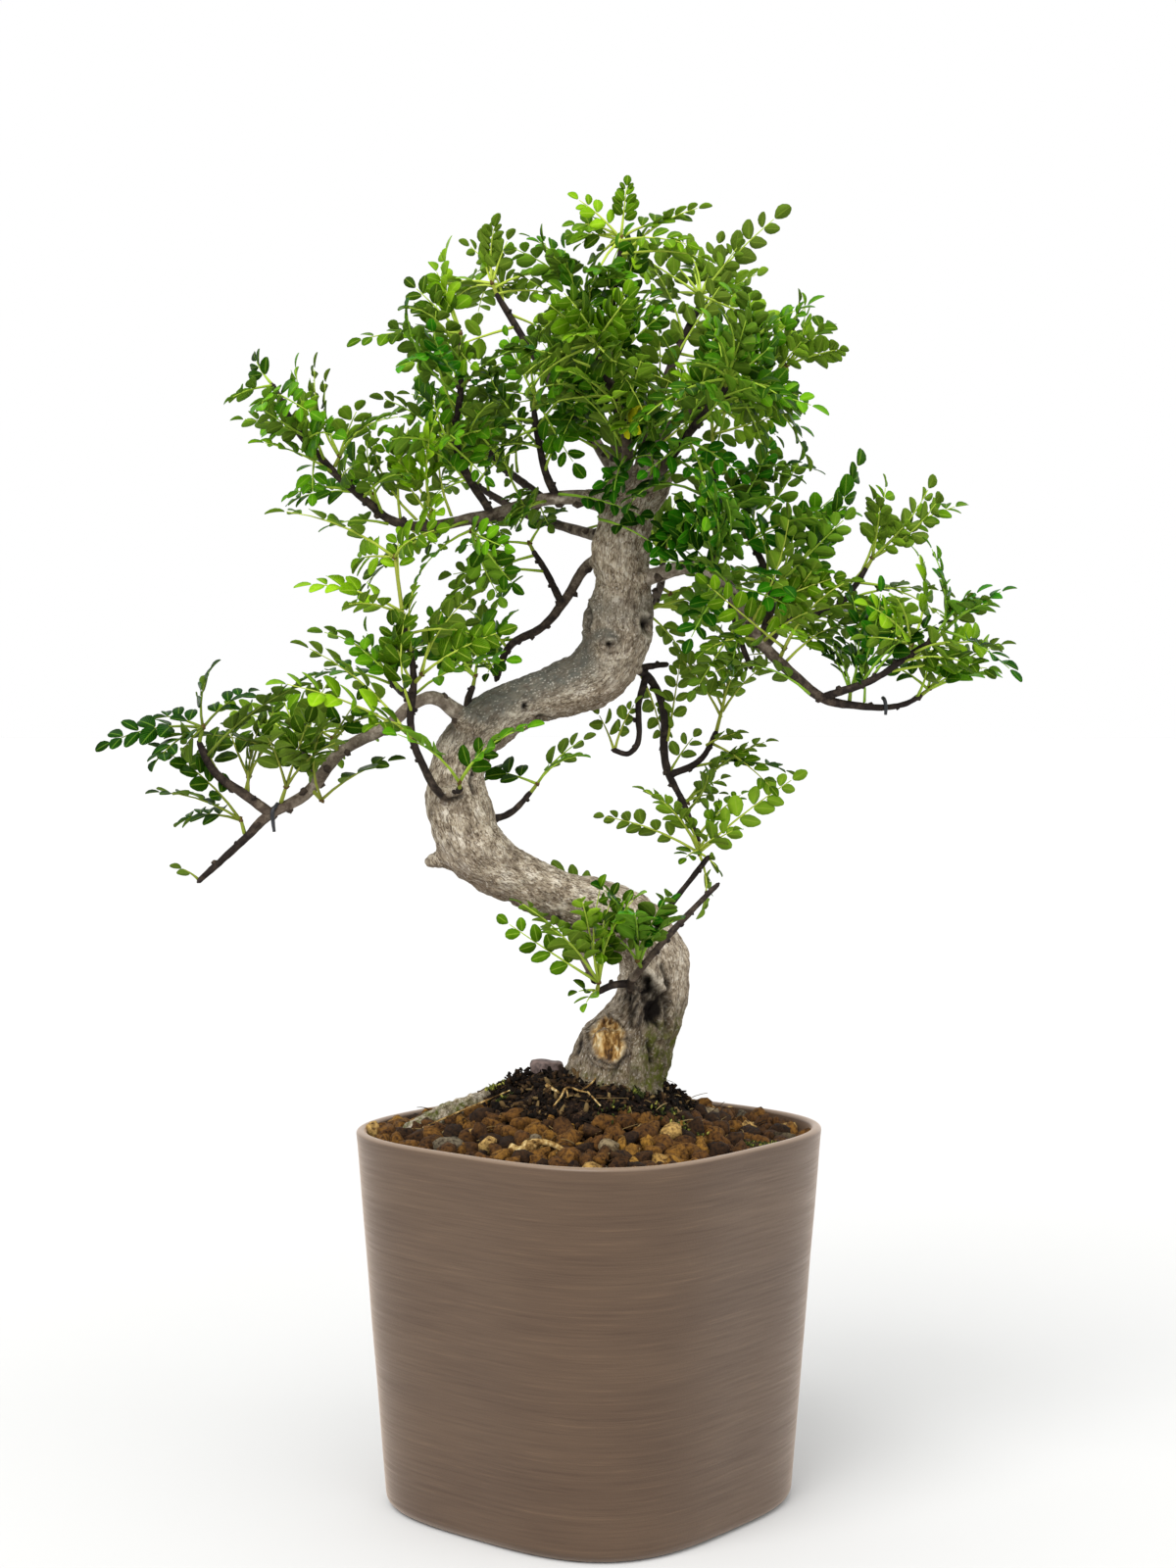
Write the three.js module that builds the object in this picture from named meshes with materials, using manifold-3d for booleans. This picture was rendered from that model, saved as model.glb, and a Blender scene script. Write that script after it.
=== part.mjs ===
// Pepper tree bonsai in a tall rounded-square pot.
// Units are millimetres, +Z is up, and the origin is the centre of the pot's underside.
// The tree is seen from its front when looking along +Y.

import * as THREE from 'three';
import { mergeVertices } from 'three/addons/utils/BufferGeometryUtils.js';
import Module from 'manifold-3d';

const wasm = await Module();
wasm.setup();

// Driving dimensions of the pot
const POT_HEIGHT = 170.8;
const POT_TOP_HALF = 93.4;
const POT_FOOT_HALF = 81.4;
const POT_WALL = 4;
const POT_FLOOR = 8;
const POT_SQUARENESS = 3.2;
const POT_TURN = 50.5 * Math.PI / 180;
const POT_SIDES = 32;
const DRAIN_RADIUS = 5;
const DRAIN_OFFSET = 45;
const DRAIN_COUNT = 4;

// Driving dimensions of the filling
const GAP = 0.35;
const SOIL_LEVEL = 166;
const HEAP_HEIGHT = 32;
const HEAP_CENTRE = 8;
const HEAP_LEFT = 45;
const HEAP_RIGHT = 28;
const HEAP_DEPTH = 34;
const BARE_SOIL_CENTRE = 4;
const BARE_SOIL_RADIUS = 43;
const GRAVEL_DEPTH = 8;
const GRAIN_COUNT = 14;
const GRAIN_SIZE = [5, 8.5];

// Sides of the wood's tubes, by the radius at their root
const TRUNK_SIDES = 10;
const STOUT_RADIUS = 7;
const STOUT_SIDES = 8;
const THIN_RADIUS = 2.9;
const THIN_SIDES = 5;
const TWIG_SIDES = 4;
const BURIED_STATIONS = 5;

// Driving dimensions of the leaves
const BLADE = 0.65;
const RIB_HALF = 0.55;
const ROOT_HALF = 0.35;
const BLADE_CUP = 0.22;
const PETIOLE_SHARE = 0.24;
const LEAFLET_HALF = 0.4;
const LEAFLET_FOOT = 3;
const STEM_RADIUS = 1.0;
const STEM_STEP = 0.1;
const BUD_RADIUS = 1.8;
const SHORT_FROND = 44;
const LONGEST_FROND = 76;
const SAMPLE_STEP = 5;
const SAMPLE_ROWS = 3;
const LEAF_CLEARANCE = 4.5;
const WOOD_CLEARANCE = 1.6;

// Depth shifts and rolls tried in turn for a frond that has no room where it is aimed
const DEPTH_TRIES = [0, 7, -7, 14, -14, 22, -22, 30, -30, 38, -38, 46, -46];
const ROLL_TRIES = [0, 0.5, -0.5, 1, -1, 1.6];
const ROLL_SPREAD = 1.3;
const LEAST_ARCH = 0.05;
const ARCH_SPREAD = 0.07;

// Trunk, from the root ball to the cut top: x, y, z and radius
const trunkRoute = [
  [10, 2, 128, 15], [10, 1, 160, 22], [11, 0, 184, 25], [13, 0, 196, 22.5], [17, 0, 211, 22],
  [23, -1, 225, 20.5], [28, -2, 238, 18], [27, -4, 251, 16], [18, -6, 263, 15], [1, -9, 271, 14],
  [-18, -13, 278, 12.5], [-36, -16, 287, 12.5], [-50, -18, 297, 14.5], [-57, -18, 311, 15],
  [-60, -15, 327, 13.5], [-56, -10, 343, 12.5], [-46, -4, 355, 13], [-30, 2, 364, 12],
  [-12, 7, 370, 13], [4, 10, 378, 15], [12, 9, 391, 15.3], [14, 7, 404, 15.5], [15, 3, 418, 12.5],
  [14, -1, 433, 13], [18, -5, 450, 12.5], [26, -6, 463, 10.5], [30, -6, 471, 9],
];

// Branches and twigs, each from inside the wood that it grows from to its tip
const branchRoutes = {
  upper_left: [[13, -4, 455, 4.6], [-15, -8, 456, 3.1], [-50, -12, 447, 2.7], [-85, -16, 444, 2.2],
    [-101, -20, 455, 1.9], [-121, -24, 474, 1.9], [-131, -25, 487, 1.6], [-140, -27, 504, 1.2]],
  upper_left_inner: [[-15, -8, 456, 2], [-20, -11, 468, 1.8], [-25, -18, 495, 1.2]],
  upper_left_back: [[-20, -8, 455, 2], [-34, 8, 467, 1.8], [-44, 22, 476, 1.6], [-51, 35, 491, 1.2]],
  upper_left_rise: [[-44, -11, 448, 2], [-59, -22, 477, 1.8], [-57, -28, 503, 1.4], [-57, -26, 523, 1.1]],
  back_left: [[10, 8, 431, 3.4], [-1, 18, 427, 2.6], [-11, 20, 412, 2.3], [-22, 20, 399, 2],
    [-37, 20, 390, 1.8], [-43, 18, 375, 1.4]],
  back_left_side: [[-13, 20, 410, 1.7], [-21, 24, 426, 1.5], [-26, 28, 434, 1.2]],
  lower_left: [[-52, -14, 353, 5], [-61, -20, 361, 3.6], [-70, -24, 366, 3], [-77, -26, 364, 2.8],
    [-89, -28, 354, 2.8], [-110, -31, 342, 2.8], [-126, -33, 323, 2.7], [-142, -34, 314, 2.4],
    [-152, -34, 304, 1.9], [-173, -32, 285, 1.2]],
  lower_left_up: [[-141, -34, 315, 2.5], [-150, -36, 322, 2.2], [-165, -40, 334, 1.9], [-171, -42, 346, 1.4]],
  lower_left_back: [[-120, -32, 330, 2], [-126, -12, 336, 1.6], [-132, 6, 344, 1.2]],
  lower_left_rear: [[-77, -26, 364, 2.2], [-84, -4, 368, 1.8], [-92, 18, 374, 1.3]],
  left_rise: [[-58, -24, 320, 2.6], [-67, -36, 325, 1.9], [-73, -40, 336, 1.8], [-78, -43, 351, 1.6],
    [-77, -44, 377, 1.5], [-81, -44, 397, 1.3]],
  left_knuckle: [[-51, -6, 352, 3.4], [-55, -6, 364, 1.9], [-53, -4, 371, 1.3]],
  inner: [[-48, -12, 311, 2], [-36, -2, 314, 1.5], [-27, 0, 323, 1.1]],
  front_of_bend: [[-60, -18, 325, 2.4], [-58, -36, 325, 1.6], [-57, -40, 326, 1.4]],
  hanging: [[14, 12, 385, 3.6], [23, 26, 379, 2.7], [29, 32, 374, 2.4], [34, 36, 363, 2.3],
    [36, 38, 334, 2.3], [44, 36, 317, 1.8], [51, 32, 299, 1.3]],
  hanging_inner: [[26, 28, 376, 1.8], [23, 24, 365, 1.5], [19, 19, 341, 1.3], [11, 16, 342, 1.1]],
  hanging_side: [[38, 37.5, 330, 1.8], [52, 42, 337, 1.4], [60, 48, 350, 1.2]],
  hanging_stub: [[20, 22, 380, 1.7], [36, 34, 382, 1.2]],
  foot_front: [[22, -12, 234, 2.6], [18, -22, 238, 2], [23, -28, 246, 1.7], [38, -30, 264, 1.5],
    [57, -26, 283, 1.1]],
  foot_front_side: [[19, -20, 238, 1.8], [10, -26, 238, 1.7], [3, -29, 235, 1.3]],
  foot_left: [[-10, -11, 265, 2.2], [-7, -20, 258, 1.8], [2, -27, 240, 1.3]],
  foot_right: [[25, 2, 257, 2.2], [38, 18, 271, 1.5], [55, 24, 292, 1.2]],
  right: [[19, 0, 419, 5], [28, -6, 421, 3.6], [51, -18, 424, 3.1], [60, -22, 417, 3],
    [75, -25, 392, 2.7], [94, -27, 373, 2.3], [103, -28, 366, 2.2], [115, -28, 363, 1.8],
    [139, -26, 363, 1.3], [147, -25, 367, 1.1]],
  right_far: [[103, -28, 366, 1.8], [126, -40, 375, 1.6], [137, -45, 383, 1.4], [151, -48, 392, 1.1]],
  right_rise: [[51, -18, 424, 2.2], [57, -12, 430, 2], [55, -6, 458, 1.6], [56, -6, 469, 1.3]],
  right_inner: [[76, -25, 391, 2.1], [82, -6, 414, 1.8], [73, 6, 439, 1.3]],
  right_back: [[78, -25, 389, 2], [94, 8, 404, 1.7], [114, 22, 408, 1.5], [128, 24, 426, 1.2]],
  right_droop: [[62, -22, 415, 1.8], [67, -8, 395, 1.4], [73, -2, 380, 1.1]],
  crown_middle: [[14, -4, 458, 4.6], [12, -6, 473, 3.2], [13, -8, 490, 2.6], [12, -7, 512, 2.2],
    [6, -3, 528, 1.8], [0, 2, 543, 1.3]],
  crown_peak: [[7, -4, 526, 1.6], [10, -8, 542, 1.4], [14, -12, 568, 1.1]],
  crown_right: [[24, -2, 461, 3.6], [31, 6, 482, 2.7], [44, 10, 496, 2.3], [73, 12, 508, 1.8],
    [86, 10, 515, 1.3]],
  crown_right_back: [[21, 4, 462, 3.2], [29, 28, 495, 2.5], [40, 44, 526, 2], [52, 50, 552, 1.4]],
  crown_left_back: [[17, 4, 460, 3.2], [1, 32, 488, 2.6], [-18, 48, 515, 2.1], [-44, 50, 557, 1.3]],
  crown_front: [[15, -12, 457, 3.2], [16, -40, 478, 2.3], [10, -54, 497, 1.9], [3, -60, 513, 1.3]],
  crown_front_right: [[24, -10, 457, 3], [38, -38, 475, 2.1], [58, -62, 498, 1.3]],
  back_right: [[14, 14, 398, 3.2], [26, 46, 408, 2.5], [34, 72, 420, 2], [36, 92, 436, 1.4]],
  back_upper: [[12, 4, 438, 3], [-10, 38, 446, 2.4], [-34, 62, 456, 1.9], [-56, 74, 470, 1.3]],
  root_left: [[2, 4, 180, 12], [-20, 6, 187, 5], [-38, 5, 186, 4], [-58, 2, 180, 3.8],
    [-76, 0, 173.5, 3.5], [-85, -2, 167, 2.6]],
  cut_scar: [[12, -12, 210, 9], [8, -20, 210, 9], [7, -22, 210, 7.5]],
  bend_stub: [[-55, -16, 297, 8], [-66, -17, 293, 5], [-73, -17, 291, 4]],
};

// Knots that stand out of the trunk, and the hollow near its foot: centre and half sizes
const knots = [
  { at: [27, 2, 402], half: [4, 6, 6] },
  { at: [8, -7, 393], half: [5, 3.5, 5] },
  { at: [-30, -9, 366], half: [5, 3, 5] },
];
const footHollow = { at: [30, -19, 225], half: [5, 5, 7] };

// Sprays: where each leaves the wood, where its bud is, and where its fronds end.
// A frond entry is the tip and, where it doesn't start at the bud, its share along the stem.
const sprays = [
  { name: 'lower_left_tip', from: [-171, -42, 346], bud: [-169, -44, 353], tone: 'deep',
    tips: [[-162, -52, 382], [-194, -30, 358], [-148, -22, 370], [-214, -54, 343], [-186, -76, 336]] },
  { name: 'lower_left_stub', from: [-152, -34, 304], bud: [-154, -34, 312], tone: 'mid',
    tips: [[-193, -48, 325], [-186, -12, 309]] },
  { name: 'lower_left_heart', from: [-152, -36, 323], bud: [-151, -30, 331], tone: 'olive',
    tips: [[-136, -20, 368], [-166, 10, 356]] },
  { name: 'lower_left_knee', from: [-137, -33, 318], bud: [-133, -42, 327], tone: 'olive',
    tips: [[-120, -50, 362], [-103, -84, 348]] },
  { name: 'lower_left_mid', from: [-111, -31, 341], bud: [-113, -37, 348], tone: 'mid',
    tips: [[-134, -76, 356], [-98, -46, 370]] },
  { name: 'lower_left_low', from: [-123, -33, 326], bud: [-118, -38, 321], tone: 'olive',
    tips: [[-82, -58, 340]] },
  { name: 'left_shoot_low', from: [-77, -42, 347], bud: [-80, -48, 351], tone: 'lime',
    tips: [[-135, -60, 373], [-131, -22, 391]] },
  { name: 'left_shoot_mid', from: [-77, -44, 372], bud: [-73, -48, 376], tone: 'lime',
    tips: [[-32, -64, 396], [-55, -28, 420]] },
  { name: 'left_shoot_top', from: [-81, -44, 397], bud: [-85, -44, 427], tone: 'lime',
    tips: [[-140, -52, 447], [-60, -76, 438], [-106, 0, 428], [-128, -50, 415, 0.2]] },
  { name: 'left_trunk_twig', from: [-53, -4, 371], bud: [-52, -2, 376], tone: 'mid',
    tips: [[-74, 8, 408], [-32, 12, 422]] },
  { name: 'left_trunk_front', from: [-57, -40, 326], bud: [-57, -45, 329], tone: 'mid',
    tips: [[-20, -62, 355], [-86, -80, 352]] },
  { name: 'inner_twig', from: [-27, 0, 323], bud: [-24, 0, 327], tone: 'mid',
    tips: [[3, 8, 350], [-50, 24, 333]] },
  { name: 'back_left_tip', from: [-43, 18, 375], bud: [-45, 20, 379], tone: 'mid',
    tips: [[-80, 38, 394], [-50, 54, 413]] },
  { name: 'back_left_side', from: [-26, 28, 434], bud: [-28, 30, 438], tone: 'mid',
    tips: [[-63, 46, 437], [-12, 74, 457]] },
  { name: 'upper_left_reach', from: [-122, -24, 476], bud: [-120, -31, 478], tone: 'mid',
    tips: [[-157, -44, 487], [-128, -46, 515]] },
  { name: 'upper_left_bend', from: [-114, -23, 467], bud: [-111, -24, 473], tone: 'olive',
    tips: [[-117, -38, 513], [-76, -62, 486]] },
  { name: 'upper_left_knee', from: [-95, -19, 451], bud: [-97, -13, 457], tone: 'mid',
    tips: [[-112, 12, 491], [-140, 14, 455]] },
  { name: 'upper_left_bud', from: [-71, -14, 445], bud: [-71, -18, 450], tone: 'lime',
    tips: [[-100, -58, 482], [-64, -52, 494]] },
  { name: 'upper_left_under', from: [-50, -12, 447], bud: [-53, -16, 441], tone: 'mid',
    tips: [[-78, -26, 416], [-30, -30, 412]] },
  { name: 'upper_mid_low', from: [-59, -22, 477], bud: [-63, -26, 479], tone: 'mid',
    tips: [[-98, -32, 502], [-80, 14, 512]] },
  { name: 'upper_mid_top', from: [-57, -26, 523], bud: [-57, -26, 527], tone: 'olive',
    tips: [[-106, -38, 521], [-82, -22, 552], [-62, -24, 570]] },
  { name: 'upper_mid_front', from: [-57, -28, 503], bud: [-53, -34, 506], tone: 'deep',
    tips: [[-67, -78, 525], [-24, -70, 515]] },
  { name: 'upper_inner', from: [-25, -18, 495], bud: [-24, -22, 500], tone: 'mid',
    tips: [[-38, -46, 531], [0, -66, 498]] },
  { name: 'upper_back_left', from: [-51, 35, 491], bud: [-53, 40, 495], tone: 'mid',
    tips: [[-91, 58, 512], [-66, 74, 537]] },
  { name: 'crown_tip', from: [14, -12, 568], bud: [14, -12, 572], tone: 'lime',
    tips: [[17, -14, 599], [46, 4, 583], [-13, -8, 578]] },
  { name: 'crown_left_top', from: [0, 2, 543], bud: [-2, 4, 548], tone: 'mid',
    tips: [[-32, 12, 579], [-18, -38, 560]] },
  { name: 'crown_front_top', from: [12, -7, 510], bud: [10, -16, 514], tone: 'mid',
    tips: [[-14, -58, 531], [30, -54, 541]] },
  { name: 'crown_right_top', from: [52, 50, 552], bud: [52, 51, 557], tone: 'olive',
    tips: [[94, 50, 598], [42, 78, 591], [82, 92, 560], [22, 102, 558]] },
  { name: 'crown_left_tip', from: [-44, 50, 557], bud: [-46, 50, 562], tone: 'lime',
    tips: [[-43, 44, 594], [-81, 80, 563], [-56, 104, 552]] },
  { name: 'crown_right_end', from: [86, 10, 515], bud: [90, 10, 518], tone: 'olive',
    tips: [[117, -10, 523], [114, 32, 541]] },
  { name: 'crown_right_mid', from: [73, 12, 508], bud: [74, 14, 514], tone: 'mid',
    tips: [[104, 14, 547], [60, -8, 553]] },
  { name: 'crown_right_low', from: [60, 11, 502], bud: [62, 7, 497], tone: 'mid',
    tips: [[94, -18, 502], [102, 4, 486]] },
  { name: 'crown_front_left', from: [3, -60, 513], bud: [3, -62, 517], tone: 'olive',
    tips: [[-16, -86, 540], [20, -92, 536], [-31, -92, 496]] },
  { name: 'crown_front_right', from: [58, -62, 498], bud: [59, -64, 502], tone: 'mid',
    tips: [[81, -76, 524], [42, -90, 529], [85, -92, 487], [16, -92, 476]] },
  { name: 'right_shoot_top', from: [56, -6, 469], bud: [55, -6, 492], tone: 'lime',
    tips: [[38, -24, 515], [80, -46, 502]] },
  { name: 'right_shoot_side', from: [55, -6, 458], bud: [50, -16, 457], tone: 'deep',
    tips: [[15, -52, 444], [40, -54, 434]] },
  { name: 'right_front', from: [58, -21, 419], bud: [54, -30, 422], tone: 'deep',
    tips: [[43, -50, 462], [26, -68, 424]] },
  { name: 'right_high', from: [73, 6, 439], bud: [73, 8, 444], tone: 'mid',
    tips: [[98, 6, 480], [60, 46, 465]] },
  { name: 'right_high_far', from: [82, -6, 414], bud: [86, -8, 418], tone: 'mid',
    tips: [[118, -20, 450], [125, 12, 480]] },
  { name: 'right_bud', from: [84, -26, 383], bud: [86, -31, 388], tone: 'lime',
    tips: [[114, -64, 417], [44, -84, 418]] },
  { name: 'right_back', from: [128, 24, 426], bud: [131, 24, 431], tone: 'olive',
    tips: [[158, 12, 468], [177, 38, 457]] },
  { name: 'right_end_top', from: [151, -48, 392], bud: [154, -48, 395], tone: 'deep',
    tips: [[184, -52, 414], [170, -88, 405]] },
  { name: 'right_end_upright', from: [137, -45, 383], bud: [140, -47, 389], tone: 'olive',
    tips: [[143, -50, 434], [112, -82, 407]] },
  { name: 'right_end_low', from: [147, -25, 367], bud: [151, -25, 370], tone: 'mid',
    tips: [[188, -30, 391], [188, 4, 377]] },
  { name: 'right_low_mid', from: [115, -28, 363], bud: [116, -24, 369], tone: 'deep',
    tips: [[103, -4, 398], [144, 2, 398]] },
  { name: 'hanging_top', from: [60, 48, 350], bud: [63, 48, 362], tone: 'lime',
    tips: [[67, 50, 394], [40, 68, 392]] },
  { name: 'hanging_end', from: [51, 32, 299], bud: [51, 28, 294], tone: 'lime',
    tips: [[20, 14, 326], [70, 10, 307], [1, 18, 312], [50, 6, 264], [101, 30, 332]] },
  { name: 'hanging_side', from: [42, 36.5, 320], bud: [46, 41, 317], tone: 'mid',
    tips: [[82, 56, 345]] },
  { name: 'foot_front', from: [3, -29, 235], bud: [4, -33, 240], tone: 'olive',
    tips: [[-34, -62, 280], [13, -42, 286], [-42, -30, 270]] },
  { name: 'foot_right', from: [23, -28, 246], bud: [21, -36, 250], tone: 'deep',
    tips: [[39, -54, 281], [8, -88, 264]] },
  { name: 'rear_right', from: [36, 92, 436], bud: [37, 94, 440], tone: 'mid',
    tips: [[72, 118, 462], [4, 122, 458]] },
  { name: 'rear_right_side', from: [34, 72, 420], bud: [39, 74, 417], tone: 'olive',
    tips: [[84, 84, 424], [48, 112, 404]] },
  { name: 'rear_upper', from: [-56, 74, 470], bud: [-58, 76, 474], tone: 'mid',
    tips: [[-98, 92, 494], [-56, 116, 492]] },
  { name: 'rear_left', from: [-92, 18, 374], bud: [-94, 21, 378], tone: 'mid',
    tips: [[-132, 32, 398], [-84, 60, 402]] },
  { name: 'rear_lower_left', from: [-132, 6, 344], bud: [-133, 9, 348], tone: 'olive',
    tips: [[-176, 22, 362], [-120, 48, 368]] },
];

const leafTones = { lime: 0x8ab52c, olive: 0x6f9a1a, mid: 0x3f7a14, deep: 0x0f5a12 };

// Small tools

function randomSource(seed) {
  let state = (seed * 7919 + 104729) % 2147483647;
  return () => {
    state = (state * 48271) % 2147483647;
    return state / 2147483647;
  };
}

function vector(row) {
  return new THREE.Vector3(row[0], row[1], row[2]);
}

function solidOf(geometry) {
  geometry.deleteAttribute('normal');
  geometry.deleteAttribute('uv');
  const merged = mergeVertices(geometry, 1e-4);
  return new wasm.Manifold(new wasm.Mesh({
    numProp: 3,
    vertProperties: new Float32Array(merged.attributes.position.array),
    triVerts: new Uint32Array(merged.index.array),
  }));
}

function geometryOf(solid) {
  const mesh = solid.getMesh();
  const geometry = new THREE.BufferGeometry();
  geometry.setAttribute('position', new THREE.BufferAttribute(mesh.vertProperties, 3));
  geometry.setIndex(new THREE.BufferAttribute(mesh.triVerts, 1));
  geometry.computeVertexNormals();
  return geometry;
}

function joined(solids) {
  return solids.reduce((whole, piece) => whole.add(piece));
}

function largestBody(solid) {
  const bodies = solid.decompose();
  return bodies.reduce((best, body) => (body.volume() > best.volume() ? body : best));
}

function facedGeometry(points, faces) {
  const geometry = new THREE.BufferGeometry();
  geometry.setAttribute('position', new THREE.Float32BufferAttribute(points.flatMap((p) => p.toArray()), 3));
  geometry.setIndex(faces.flat());
  return geometry;
}

// Rounded-square outline: the factor that turns a half side into a radius at an angle
function squareFactor(angle) {
  const turned = angle - POT_TURN;
  const x = Math.abs(Math.cos(turned)) ** POT_SQUARENESS;
  const y = Math.abs(Math.sin(turned)) ** POT_SQUARENESS;
  return (x + y) ** (-1 / POT_SQUARENESS);
}

function sideAngle(index) {
  return index * 2 * Math.PI / POT_SIDES;
}

// Pot: a turned profile pushed out to the rounded-square plan, with drain holes through its floor
function potSolid() {
  const innerFoot = POT_FOOT_HALF - POT_WALL;
  const innerTop = POT_TOP_HALF - POT_WALL;
  const profile = [
    [0, 0], [POT_FOOT_HALF - 4.4, 0], [POT_FOOT_HALF - 1, 1.4], [POT_FOOT_HALF + 0.3, 5],
    [POT_TOP_HALF, POT_HEIGHT - 1.6], [POT_TOP_HALF - 1.2, POT_HEIGHT], [innerTop + 1.2, POT_HEIGHT],
    [innerTop, POT_HEIGHT - 1.6], [innerFoot, POT_FLOOR], [0, POT_FLOOR],
  ];
  const turned = new THREE.LatheGeometry(profile.map(([r, z]) => new THREE.Vector2(r, z)), POT_SIDES);
  turned.rotateX(Math.PI / 2);
  const place = turned.attributes.position;
  for (let i = 0; i < place.count; i += 1) {
    const factor = squareFactor(Math.atan2(place.getY(i), place.getX(i)));
    place.setXY(i, place.getX(i) * factor, place.getY(i) * factor);
  }
  let pot = solidOf(turned);
  for (let i = 0; i < DRAIN_COUNT; i += 1) {
    const angle = (i + 0.5) * 2 * Math.PI / DRAIN_COUNT;
    const drill = new THREE.CylinderGeometry(DRAIN_RADIUS, DRAIN_RADIUS, 3 * POT_FLOOR, 8);
    drill.rotateX(Math.PI / 2);
    drill.translate(DRAIN_OFFSET * Math.cos(angle), DRAIN_OFFSET * Math.sin(angle), 0);
    pot = pot.subtract(solidOf(drill));
  }
  return pot;
}

function potInnerHalf(z) {
  const share = (z - POT_FLOOR) / (POT_HEIGHT - 1.6 - POT_FLOOR);
  return POT_FOOT_HALF - POT_WALL + (POT_TOP_HALF - POT_FOOT_HALF) * share;
}

function wallPoint(index, z) {
  const angle = sideAngle(index);
  const radius = (potInnerHalf(z) - GAP) * squareFactor(angle);
  return new THREE.Vector3(radius * Math.cos(angle), radius * Math.sin(angle), z);
}

// Height of the heaped surface over the pot
function heapHeight(x, y) {
  const across = (x - HEAP_CENTRE) / (x < HEAP_CENTRE ? HEAP_LEFT : HEAP_RIGHT);
  const along = y / HEAP_DEPTH;
  return SOIL_LEVEL + HEAP_HEIGHT * Math.exp(-(across * across + along * along) / 2);
}

function barePoint(index, share, lift) {
  const angle = sideAngle(index);
  const x = BARE_SOIL_CENTRE + BARE_SOIL_RADIUS * share * Math.cos(angle);
  const y = BARE_SOIL_RADIUS * share * Math.sin(angle);
  return new THREE.Vector3(x, y, heapHeight(x, y) + lift);
}

function ringPoint(index, share, lift, gap) {
  const inner = barePoint(index, 1 + gap / BARE_SOIL_RADIUS, 0);
  const outer = wallPoint(index, SOIL_LEVEL);
  const mixed = inner.lerp(outer, share);
  mixed.z = heapHeight(mixed.x, mixed.y) + lift;
  return mixed;
}

// A closed solid whose rings of points all have POT_SIDES points, from the inside of its top
// round to the inside of its underside. Where closed is true the last ring meets the first.
// From ring turned on, the other diagonal is used, so that an underside fits what lies under it.
function ringedSolid(rings, topCentre, lowCentre, closed, turned) {
  const points = rings.flat();
  const faces = [];
  const count = closed ? rings.length : rings.length - 1;
  for (let r = 0; r < count; r += 1) {
    const next = (r + 1) % rings.length;
    for (let i = 0; i < POT_SIDES; i += 1) {
      const j = (i + 1) % POT_SIDES;
      const [a, b] = [r * POT_SIDES + i, r * POT_SIDES + j];
      const [c, d] = [next * POT_SIDES + i, next * POT_SIDES + j];
      faces.push(...(r >= turned ? [[a, c, b], [c, d, b]] : [[a, c, d], [a, d, b]]));
    }
  }
  if (!closed) {
    const last = (rings.length - 1) * POT_SIDES;
    points.push(topCentre, lowCentre);
    for (let i = 0; i < POT_SIDES; i += 1) {
      const j = (i + 1) % POT_SIDES;
      faces.push([points.length - 2, i, j]);
      faces.push([points.length - 1, last + j, last + i]);
    }
  }
  return solidOf(facedGeometry(points, faces));
}

function ringOf(make) {
  return Array.from({ length: POT_SIDES }, (unused, index) => make(index));
}

function soilSolid() {
  const random = randomSource(11);
  const rough = () => (random() - 0.5) * 2.4;
  const underGravel = -GRAVEL_DEPTH - GAP;
  const rings = [
    ringOf((i) => barePoint(i, 0.68, rough())),
    ringOf((i) => barePoint(i, 1 - GAP / BARE_SOIL_RADIUS, rough())),
    ringOf((i) => barePoint(i, 1 + GAP / BARE_SOIL_RADIUS, underGravel)),
    ringOf((i) => wallPoint(i, SOIL_LEVEL + underGravel)),
    ringOf((i) => wallPoint(i, POT_FLOOR + GAP)),
  ];
  const top = new THREE.Vector3(BARE_SOIL_CENTRE, 0, heapHeight(BARE_SOIL_CENTRE, 0));
  return ringedSolid(rings, top, new THREE.Vector3(0, 0, POT_FLOOR + GAP), false, rings.length);
}

// Gravel: a ring-shaped layer with grains, larger than life, standing out of it
function gravelSolid() {
  const random = randomSource(23);
  const rough = () => (random() - 0.5) * 4.4;
  const wallLow = SOIL_LEVEL - GRAVEL_DEPTH;
  const rings = [
    ringOf((i) => ringPoint(i, 0, rough(), GAP)),
    ...[0.2, 0.42, 0.62, 0.82].map((share) => ringOf((i) => ringPoint(i, share, rough(), GAP))),
    ringOf((i) => wallPoint(i, SOIL_LEVEL - 1 + rough() / 2)),
    ringOf((i) => wallPoint(i, wallLow)),
    ringOf((i) => ringPoint(i, 0, -GRAVEL_DEPTH, GAP)),
  ];
  let gravel = ringedSolid(rings, null, null, true, rings.length - 2);
  for (let i = 0; i < GRAIN_COUNT; i += 1) {
    const angle = (i * 137.508 + random() * 14) * Math.PI / 180;
    const share = 0.24 + 0.54 * ((i * 0.618 + 0.2 * random()) % 1);
    const place = ringPoint((angle / (2 * Math.PI)) * POT_SIDES, share, 0, GAP);
    const size = GRAIN_SIZE[0] + (GRAIN_SIZE[1] - GRAIN_SIZE[0]) * random();
    const grain = new THREE.OctahedronGeometry(size);
    grain.scale(1, 0.75 + 0.3 * random(), 0.55 + 0.2 * random());
    grain.rotateX(random() * 0.5);
    grain.rotateZ(random() * 6);
    grain.translate(place.x, place.y, place.z + 0.3 * size);
    gravel = gravel.add(solidOf(grain));
  }
  return gravel;
}

// Stations of a route: the places that it passes, with the wood's radius there
function stationsOf(route) {
  return route.map((row) => ({ at: vector(row), radius: row[3] }));
}

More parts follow.
